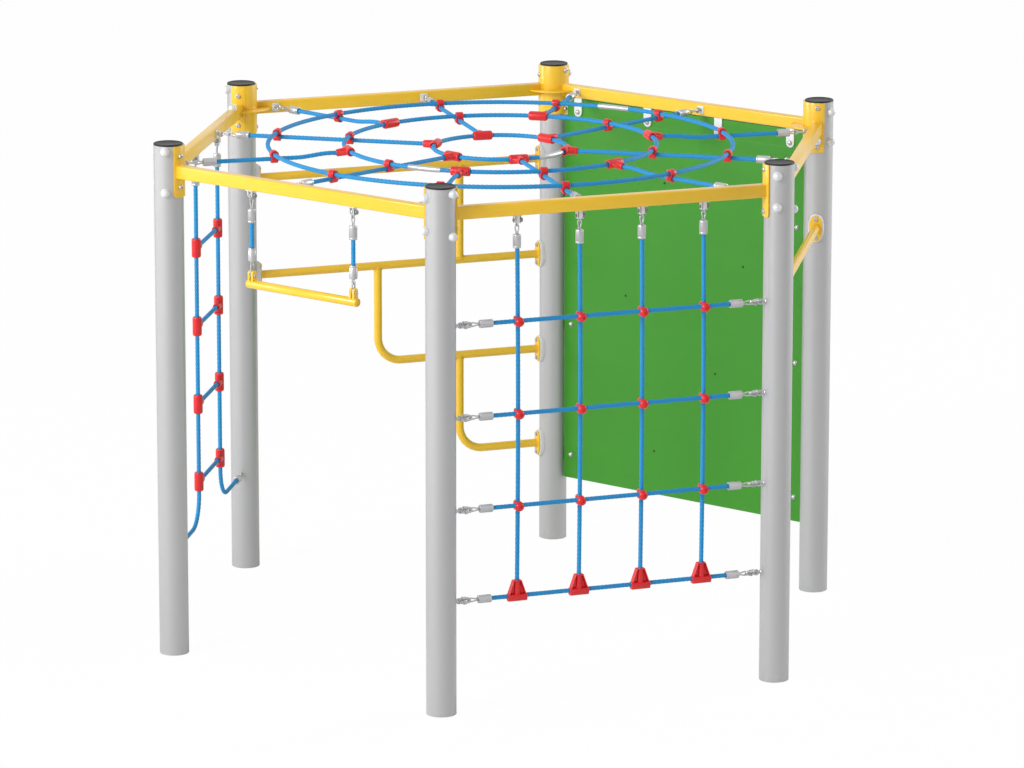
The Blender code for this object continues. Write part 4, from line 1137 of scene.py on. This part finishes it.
# %% Cross ropes of the side net


def post_eye(side, x, way, y, z):
    """The point where an eye bolt leaves a post, and its direction."""
    depth = math.sqrt(POST_R ** 2 - y ** 2)
    return side @ Vector((x + way * depth, y, z)), (side.to_3x3() @ X) * way


for row, height in enumerate(NET_Z, start=1):
    y = CROSSING if row == 1 else -CROSSING
    node = [f"net_cross_rope_{row}"]
    steel = []
    ends = []
    eyes = []
    for x, way in ((0.0, 1), (SIDE, -1)):
        surface, direction = post_eye(net_side, x, way, y, height)
        steel += rope_end(surface, direction, Z, LONG_REACH)
        eyes += eye_bolt(surface, direction, direction.cross(Z))
        ends.append(surface + direction * (LONG_REACH + ROPE_INSET))
    done(f"net_cross_{row}_rope", [rope(ends)], blue_yarn, stands_for=node)
    done(f"net_cross_{row}_links", steel, bright_steel, stands_for=node)
    done(f"net_cross_{row}_eye_bolts", eyes, bright_steel)
print("cross ropes:", len(NET_Z))

# %% [markdown]
# ## The rope ladder
# Two ropes hang from the beam of side 6 and bend outwards near the ground to the posts. The rungs are
# ropes too. Each ends in a T-connector on both sides.

# %% Rope ladder
ladder_side = side_frame(6)
LADDER_RIGHT, LADDER_LEFT = 0.4785, 0.8815
LADDER_END_Z = 0.400
LADDER_BEND_R = 0.120
RUNG_Z = (1.515, 1.200, 0.885, 0.570)
for name, x, way, post_x in (("right", LADDER_RIGHT, 1, 0.0), ("left", LADDER_LEFT, -1, SIDE)):
    label = f"ladder_{name}"
    node = [f"{label}_rope"]
    surface, direction = post_eye(ladder_side, post_x, way, 0.0, LADDER_END_Z)
    route = [ladder_side @ Vector((x, 0, HANG_FERRULE_Z - ROPE_INSET))]
    for across, rise in arc((0, 0), LADDER_BEND_R, 0, -90, 14):
        bend = Vector((x - way * (LADDER_BEND_R - across), 0, LADDER_END_Z + LADDER_BEND_R + rise))
        route.append(ladder_side @ bend)
    route.append(surface + direction * (SHORT_REACH + ROPE_INSET))
    done(f"{label}_upright_rope", [rope(route)], blue_yarn, stands_for=node)
    steel = hanging_end(ladder_side, x) + rope_end(surface, direction, Z)
    done(f"{label}_links", steel, bright_steel, stands_for=node)
    done(f"{label}_eye_bolt", eye_bolt(surface, direction, direction.cross(Z)), bright_steel)
    hanger(label, ladder_side, x)
    along = (ladder_side.to_3x3() @ X) * way
    tees = [tee(ladder_side @ Vector((x, 0, height)), Z, along) for height in RUNG_Z]
    done(f"{label}_connectors", tees, red_plastic, stands_for=node)
rung_ends = (LADDER_RIGHT + SOCKET_FLOOR, LADDER_LEFT - SOCKET_FLOOR)
for index, height in enumerate(RUNG_Z, start=1):
    ends = [ladder_side @ Vector((x, 0, height)) for x in rung_ends]
    done(f"ladder_rung_{index}", [rope(ends)], blue_yarn, stands_for=["ladder_left_rope"])
print("rungs:", len(RUNG_Z))

# %% [markdown]
# ## The trapeze
# The bar hangs on two ropes. Each rope has a link at the top and one at the bottom, so the whole trapeze
# swings, and the bar can tilt. Every moving piece rides its own body of the CAD frame.

# %% Trapeze ropes and links
TRAPEZE_X = (0.426, 0.934)
LOW_FERRULE_Z = 1.6665
LUG_Z = 1.5605
BAR_Z = 1.5255
LOW_EYE_Z = 1.5942
LOW_ROPE_Z = 1.6555
LOW_ROOT_Z = LOW_FERRULE_Z - FERRULE_L
HOOKED = 2 * LINK_WIRE + TOUCH
trapeze_side = side_frame(1)
trapeze_along = trapeze_side.to_3x3() @ X
trapeze_across = trapeze_side.to_3x3() @ Y


def on_trapeze(x, heights):
    """Points on one of the trapeze's ropes."""
    return [trapeze_side @ Vector((x, 0, height)) for height in heights]


for name, x in zip(("left", "right"), TRAPEZE_X):
    label = f"trapeze_{name}"
    body = f"{label}_hanger"
    node = [f"trapeze_rope_{name}"]
    course = on_trapeze(x, (HANG_FERRULE_Z - ROPE_INSET, LOW_ROPE_Z))
    done(f"{label}_rope", [rope(course)], blue_yarn, body=body, stands_for=node)
    top_eye, top_root, low_root, low_eye = on_trapeze(x, (TOP_LINK_END_Z + HOOKED, HANG_FERRULE_Z, LOW_ROOT_Z,
                                                          LOW_EYE_Z))
    steel = [ferrule(top_root, -Z), ferrule(low_root, Z), bow(top_eye, top_root, trapeze_across),
             bow(low_eye, low_root, trapeze_across)]
    done(f"{label}_ferrules", steel, bright_steel, body=body, stands_for=node)
    done(f"{label}_top_ring", [top_link(trapeze_side, x)], bright_steel, body="trapeze_top_links",
         stands_for=[f"trapeze_top_link_{name}"])
    start, end = on_trapeze(x, (LOW_EYE_Z + HOOKED, LUG_Z - PIN_R - TOUCH - LINK_WIRE))
    done(f"{label}_lower_ring", [link_ring(start, end, trapeze_along)], bright_steel,
         body="trapeze_lower_links", stands_for=[f"trapeze_lower_link_{name}"])
    hanger(label, trapeze_side, x, model=hanger_model, ending="hanger_bracket")
print("trapeze ropes:", len(TRAPEZE_X))

# %% [markdown]
# The bar is a coated tube with a sunk cap in each end. Each lug is a pair of round-topped plates welded to
# the bar. A pin with two heads passes through the pair, and the lower link hangs round it.

# %% Trapeze bar
HALF_BAR = 0.275
LUG_X, LUG_HALF = 0.0084, 0.0046
LUG_SEAM_X, LUG_SEAM_R = 0.0132, 0.0172
PIN_HALF = 0.0128
end_profile = [(0, 0.0030), (0.0122, 0.0030), (0.0128, 0), (0.0158, 0.0004), (0.01685, 0.0020)]
bar_profile = [(radius, inset - HALF_BAR) for radius, inset in end_profile]
bar_profile += [(radius, HALF_BAR - inset) for radius, inset in reversed(end_profile)]
bar_middle = trapeze_side @ Vector((SIDE / 2, 0, BAR_Z))
bar_parts = [set_down(turned(bar_profile, steps=40), pointing(bar_middle, trapeze_along))]
lug_outline = arc((0, 0.0070), 0.0122, 0, 180, 14) + [(-0.0122, -0.0300), (0.0122, -0.0300)]
foot_line = [0.012 - 0.0024 * step for step in range(11)]
pins = []
for x in TRAPEZE_X:
    for sign in (-1, 1):
        stand = trapeze_side @ Matrix.Translation((x + sign * LUG_X, 0, LUG_Z)) @ YZ_SHEET
        bar_parts.append(set_down(plate(lug_outline, -LUG_HALF, LUG_HALF, edge=0.0012), stand))
        foot = [trapeze_side @ Vector((x + sign * LUG_SEAM_X, y, BAR_Z + math.sqrt(LUG_SEAM_R ** 2 - y ** 2)))
                for y in foot_line]
        bar_parts.append(weld_bead(foot, 0.0016, ripple=0.2, pace=2.4, closed=False))
    pin_ends = [trapeze_side @ Vector((x + sign * PIN_HALF, 0, LUG_Z)) for sign in (-1, 1)]
    pins.append(bar(pin_ends, PIN_R))
    pins.append(set_down(screw_head(0.0066, 0.0046), pointing(pin_ends[0], -trapeze_along)))
    pins.append(set_down(screw_head(0.0060, 0.0040), pointing(pin_ends[1], trapeze_along)))
done("trapeze_bar_tube", bar_parts, yellow_coat, body="trapeze_bar", stands_for=["trapeze_bar"])
done("trapeze_bar_pins", pins, bright_steel, body="trapeze_bar", stands_for=["trapeze_bar"])
print("trapeze bar length:", 2 * HALF_BAR)

# %% [markdown]
# ## Pipes on the back sides
# The pipe frame is bent and welded from one size of pipe. Each end has an oval flange that bolts on a thick
# pad, and the pad's back is hollowed to the post. Beads of weld ring every joint.

# %% Flanges, pads and pipes
PIPE_R = 0.01685
JOINT_R, SEAM_R, SEAM_RISE = 0.01715, 0.0172, 0.0012
FLANGE_SEAM_R, FLANGE_SEAM_RISE = 0.0174, 0.0008
OVAL_POWER = 0.88
BOLT_Y, BOLT_SEAT = 0.0380, 0.0003
PAD_IN = 0.0470
PAD_OUT = POST_R + 0.010
FLANGE_IN = PAD_OUT + GAP
FLANGE_OUT = FLANGE_IN + 0.006


def flange_outline(width, height):
    """An oval with softly curved sides."""
    ring = []
    for step in range(48):
        along, up = polar(1, 7.5 * step)
        ring.append((width / 2 * math.copysign(abs(along) ** OVAL_POWER, along),
                     height / 2 * math.copysign(abs(up) ** OVAL_POWER, up)))
    return ring


pad_model = plate(flange_outline(0.0615, 0.1140), PAD_IN, PAD_OUT, edge=0.0016)
seam = [(*polar(FLANGE_SEAM_R, 10 * step), FLANGE_OUT + FLANGE_SEAM_RISE) for step in range(36)]
flange_model = one_piece([plate(flange_outline(0.053, 0.104), FLANGE_IN, FLANGE_OUT, edge=0.0009),
                          weld_bead(seam)])
flange_bolts = one_piece([copy_to(pad_bolt, Matrix.Translation((0, sign * BOLT_Y, FLANGE_OUT - BOLT_SEAT)))
                          for sign in (-1, 1)])


def flange_place(side, x, way, height):
    """The place of a flange: its Z points from the post along the pipe."""
    return side @ frame_at(Vector((x, 0, height)), Y * way, Z, X * way)


def pipe(side, points):
    """A pipe through (x, z) points in the plane of a side."""
    return bar([side @ Vector((x, 0, z)) for x, z in points], PIPE_R, sides=8)


def pipe_joint(side, x, height, up):
    """A weld bead where an upright pipe meets a level one."""
    ring = []
    for step in range(32):
        across, y = polar(SEAM_R, 11.25 * step)
        rise = math.sqrt(max(0.0, JOINT_R ** 2 - y ** 2)) + SEAM_RISE
        ring.append(side @ Vector((x + across, y, height + up * rise)))
    return weld_bead(ring)


pipe_side = side_frame(5)
BAR_HEIGHTS = (0.412, 0.8162, 1.2204, 1.6246)
foot, low, middle, high = BAR_HEIGHTS
INNER_X, OUTER_X = 0.417, 0.776
BEND_R = 0.100
inset = FLANGE_IN + 0.003
mounts = [(pipe_side, 0.0, 1, height) for height in BAR_HEIGHTS]
mounts += [(pipe_side, SIDE, -1, height) for height in (middle, high)]
pipes = [pipe(pipe_side, [(inset, height), (SIDE - inset, height)]) for height in (middle, high)]
pipes.append(pipe(pipe_side, [(INNER_X, middle), (INNER_X, high)]))
for x, top, level in ((OUTER_X, middle, low), (INNER_X, low, foot)):
    bend = arc((x - BEND_R, level + BEND_R), BEND_R, 0, -90, 18)
    pipes.append(pipe(pipe_side, [(x, top), *bend, (inset, level)]))
for x, height, up in ((INNER_X, middle, 1), (INNER_X, high, -1), (OUTER_X, middle, -1), (INNER_X, low, -1)):
    pipes.append(pipe_joint(pipe_side, x, height, up))
pipes += [copy_to(flange_model, flange_place(*mount)) for mount in mounts]
done("pipe_frame_welded", pipes, yellow_coat, stands_for=["pipe_frame"])
print("pipe ends:", len(mounts))

# %% [markdown]
# The cross bar on side 3 is the same pipe with two flanges. The pads are zinc-coated blocks
# between flange and post. The bolts are a piece of their own.

# %% Cross bar, pads and bolts
CROSS_BAR_Z = 1.510
bar_side = side_frame(3)
bar_mounts = [(bar_side, 0.0, 1, CROSS_BAR_Z), (bar_side, SIDE, -1, CROSS_BAR_Z)]
cross = [pipe(bar_side, [(inset, CROSS_BAR_Z), (SIDE - inset, CROSS_BAR_Z)])]
cross += [copy_to(flange_model, flange_place(*mount)) for mount in bar_mounts]
done("cross_bar_welded", cross, yellow_coat, stands_for=["cross_bar"])
for name, model, look in (("saddle_pads", pad_model, pale_zinc), ("pad_bolts", flange_bolts, bright_steel)):
    done(name, [copy_to(model, flange_place(*mount)) for mount in mounts + bar_mounts], look)
print("pads:", len(mounts + bar_mounts))

# %% [markdown]
# ## The climbing wall
# The wall is a green plastic board with milled, rounded edges. Notches in its upper corners clear the
# beam's saddles. It is drawn as an outline on the side's frame and given its thickness.

# %% Wall board
wall_side = side_frame(4)
WALL_IN_Y = 0.0047
WALL_OUT_Y = -0.0133
upright = wall_side @ XZ_SHEET
LEFT, RIGHT, LOW, TOP = 0.06215, 1.29785, 0.2695, 1.885
NOTCH, SHOULDER = 0.014, 1.811
board_corners = [(LEFT, LOW), (RIGHT, LOW), (RIGHT, SHOULDER), (RIGHT - NOTCH, SHOULDER), (RIGHT - NOTCH, TOP),
                 (LEFT + NOTCH, TOP), (LEFT + NOTCH, SHOULDER), (LEFT, SHOULDER)]


def rounded(points, radius, steps=4):
    """Round the corners of an outline."""
    made = []
    corners = [Vector(point) for point in points]
    for index, corner in enumerate(corners):
        first = corner + (corners[index - 1] - corner).normalized() * radius
        last = corner + (corners[(index + 1) % len(corners)] - corner).normalized() * radius
        for step in range(steps + 1):
            share = step / steps
            made.append(tuple(first * (1 - share) ** 2 + corner * 2 * share * (1 - share) + last * share ** 2))
    return made


board = set_down(plate(rounded(board_corners, 0.004), -WALL_IN_Y, -WALL_OUT_Y, edge=0.0030), upright)
done("climbing_wall_board", [board], green_board, stands_for=["climbing_wall"])
print("board:", round(RIGHT - LEFT, 3), "x", round(TOP - LOW, 3))

# %% [markdown]
# The holds are cast resin with a hand shape: a ball with a soft swell, squashed and cut flat. They are on
# the outer face, which the photograph doesn't show, so their shapes are a guess. Thin black discs on the
# inner face are painted shade: they stand for the dark insides of the holds' fixing holes.

# %% Holds
HOLD_SPOTS = ((0.586, 1.5865), (0.992, 1.290), (0.387, 1.089), (0.854, 0.825), (0.541, 0.4525))
HOLD_SIZE = (0.112, 0.080, 0.043)
HOLD_ORDER = ("red", "yellow", "blue", "yellow", "red")
# The profile of a thin black disc that carries the painted shade of a fixing hole.
HOLE_SHADE_DISC = [(0, 0), (0.0050, 0), (0.0050, 0.0013), (0.0043, 0.0017), (0, 0.0017)]


def cut_at(height):
    """A step that cuts a mesh at a height and keeps what is above."""
    return bpy.ops.mesh.bisect, {"plane_co": (0, 0, height), "plane_no": (0, 0, 1), "clear_inner": True,
                                 "use_fill": True}


for index, (from_post_5, height) in enumerate(HOLD_SPOTS):
    bpy.ops.object.select_all(action="DESELECT")
    bpy.ops.mesh.primitive_uv_sphere_add(segments=40, ring_count=24, radius=1)
    hold = on_whole_mesh(bpy.context.object, [cut_at(-0.02)])
    swell = bpy.data.textures.new(f"hold_swell_{index}", "CLOUDS")
    swell.noise_scale = 0.9 + 0.12 * index
    groove = hold.modifiers.new("finger_groove", "DISPLACE")
    groove.texture = swell
    groove.strength = 0.35
    groove.mid_level = 0.5
    pick(hold)
    bpy.ops.object.modifier_apply(modifier="finger_groove")
    on_whole_mesh(hold, [cut_at(0)])
    widest = max(hold.dimensions.x, hold.dimensions.y)
    wide, high, deep = HOLD_SIZE
    squash = Matrix.Diagonal((wide / widest, high / widest, deep / hold.dimensions.z, 1))
    spot = upright @ Matrix.Translation((SIDE - from_post_5, height, -WALL_OUT_Y - 0.0005))
    lean = Matrix.Rotation(math.radians(35 * index), 4, "Z")
    set_down(hold, spot @ lean @ squash)
    done(f"hold_{index + 1}", [outward(hold)], hold_looks[HOLD_ORDER[index]], stands_for=["climbing_wall"],
         angle=50)
# Thin black discs on the inner face are painted shade where the holds' fixing holes are.
hole_shade_discs = []
for from_post_5, height in HOLD_SPOTS:
    spot = upright @ pointing(Vector((SIDE - from_post_5, height, -WALL_IN_Y + 0.0010)), -Z)
    hole_shade_discs.append(set_down(turned(HOLE_SHADE_DISC, steps=24), spot))
done("hold_hole_painted_shade", hole_shade_discs, painted_hole_shade, stands_for=["climbing_wall"])
print("holds:", len(HOLD_SPOTS))

# %% [markdown]
# Four round-ended tabs hang from the beam and hold the board's upper edge, and flat lugs on the posts hold
# its sides. A hexagon bolt with a domed nut goes through each of them.

# %% Tabs, lugs and wall bolts
TAB_R, TAB_TOP = 0.0195, 0.0645
TAB_SPOTS = (-0.5445, -0.1815, 0.1815, 0.5445)
LUG_R, LUG_FOOT = 0.025, 0.0530
LUG_HEIGHTS = (0.370, 0.9285, 1.487)
LUG_REACH = 0.12465 - LUG_R
tab_outline = arc((0, 0), TAB_R, 180, 360, 16) + [(TAB_R, TAB_TOP), (-TAB_R, TAB_TOP)]
lug_outline = arc((LUG_REACH, 0), LUG_R, -90, 90, 14) + [(LUG_FOOT, LUG_R), (LUG_FOOT, -LUG_R)]
tabs = []
lugs = []
wall_bolts = []


def bolt_through(place, head_place, nut_at):
    """A bolt with its nut through a place of the wall."""
    wall_bolts.append(copy_to(small_nut, place @ pointing(Z * nut_at, -Z)))
    wall_bolts.append(copy_to(pad_bolt, place @ head_place))


for from_middle in TAB_SPOTS:
    place = upright @ Matrix.Translation((SIDE / 2 + from_middle, SHOULDER + TAB_R, 0))
    tabs.append(set_down(plate(tab_outline, -0.010, -0.005, edge=0.0008), place))
    bolt_through(place, pointing(Z * 0.0131, Z), -0.0098)
done("wall_tabs", tabs, pale_zinc)
for post_x, turn in ((0.0, 0), (SIDE, math.pi)):
    for height in LUG_HEIGHTS:
        place = upright @ Matrix.Translation((post_x, height, 0)) @ Matrix.Rotation(turn, 4, "Z")
        lugs.append(set_down(plate(lug_outline, 0.0136, 0.0186, edge=0.0008), place))
        bolt_through(place @ Matrix.Translation(X * LUG_REACH), Matrix.Translation(Z * 0.0184), -0.0045)
done("wall_lugs", lugs, satin_steel)
done("wall_bolts", wall_bolts, bright_steel)
print("tabs:", len(tabs), "lugs:", len(lugs))

# %% [markdown]
# The posts are named last. Each one takes the place of its CAD node.

# %% Hand over the posts
for number, post in zip(NUMBERS, posts):
    done(f"post_{number}_tube", [post], satin_steel, stands_for=[f"post_{number}"])
for model in (saddle_screw, cover_nut, small_nut, pad_bolt, tee_model, clip_model, ball_model, cone_model,
              hanger_model, closed_hanger, hanger_bolt, flange_model, pad_model, flange_bolts, rope_section):
    bpy.data.objects.remove(model, do_unlink=True)
triangles = sum(len(face.vertices) - 2 for piece in made_pieces for face in piece.data.polygons)
print("pieces:", len(made_pieces), "triangles:", triangles)

# %% [markdown]
# The last cell compares the size of the finished model with the CAD frame's box.

# %% Compare sizes and finish
final_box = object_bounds()
for axis, name in enumerate("xyz"):
    cad_size = cad_box[1][axis] - cad_box[0][axis]
    size = final_box[1][axis] - final_box[0][axis]
    print(name, "CAD", round(cad_size, 4), "model", round(size, 4))
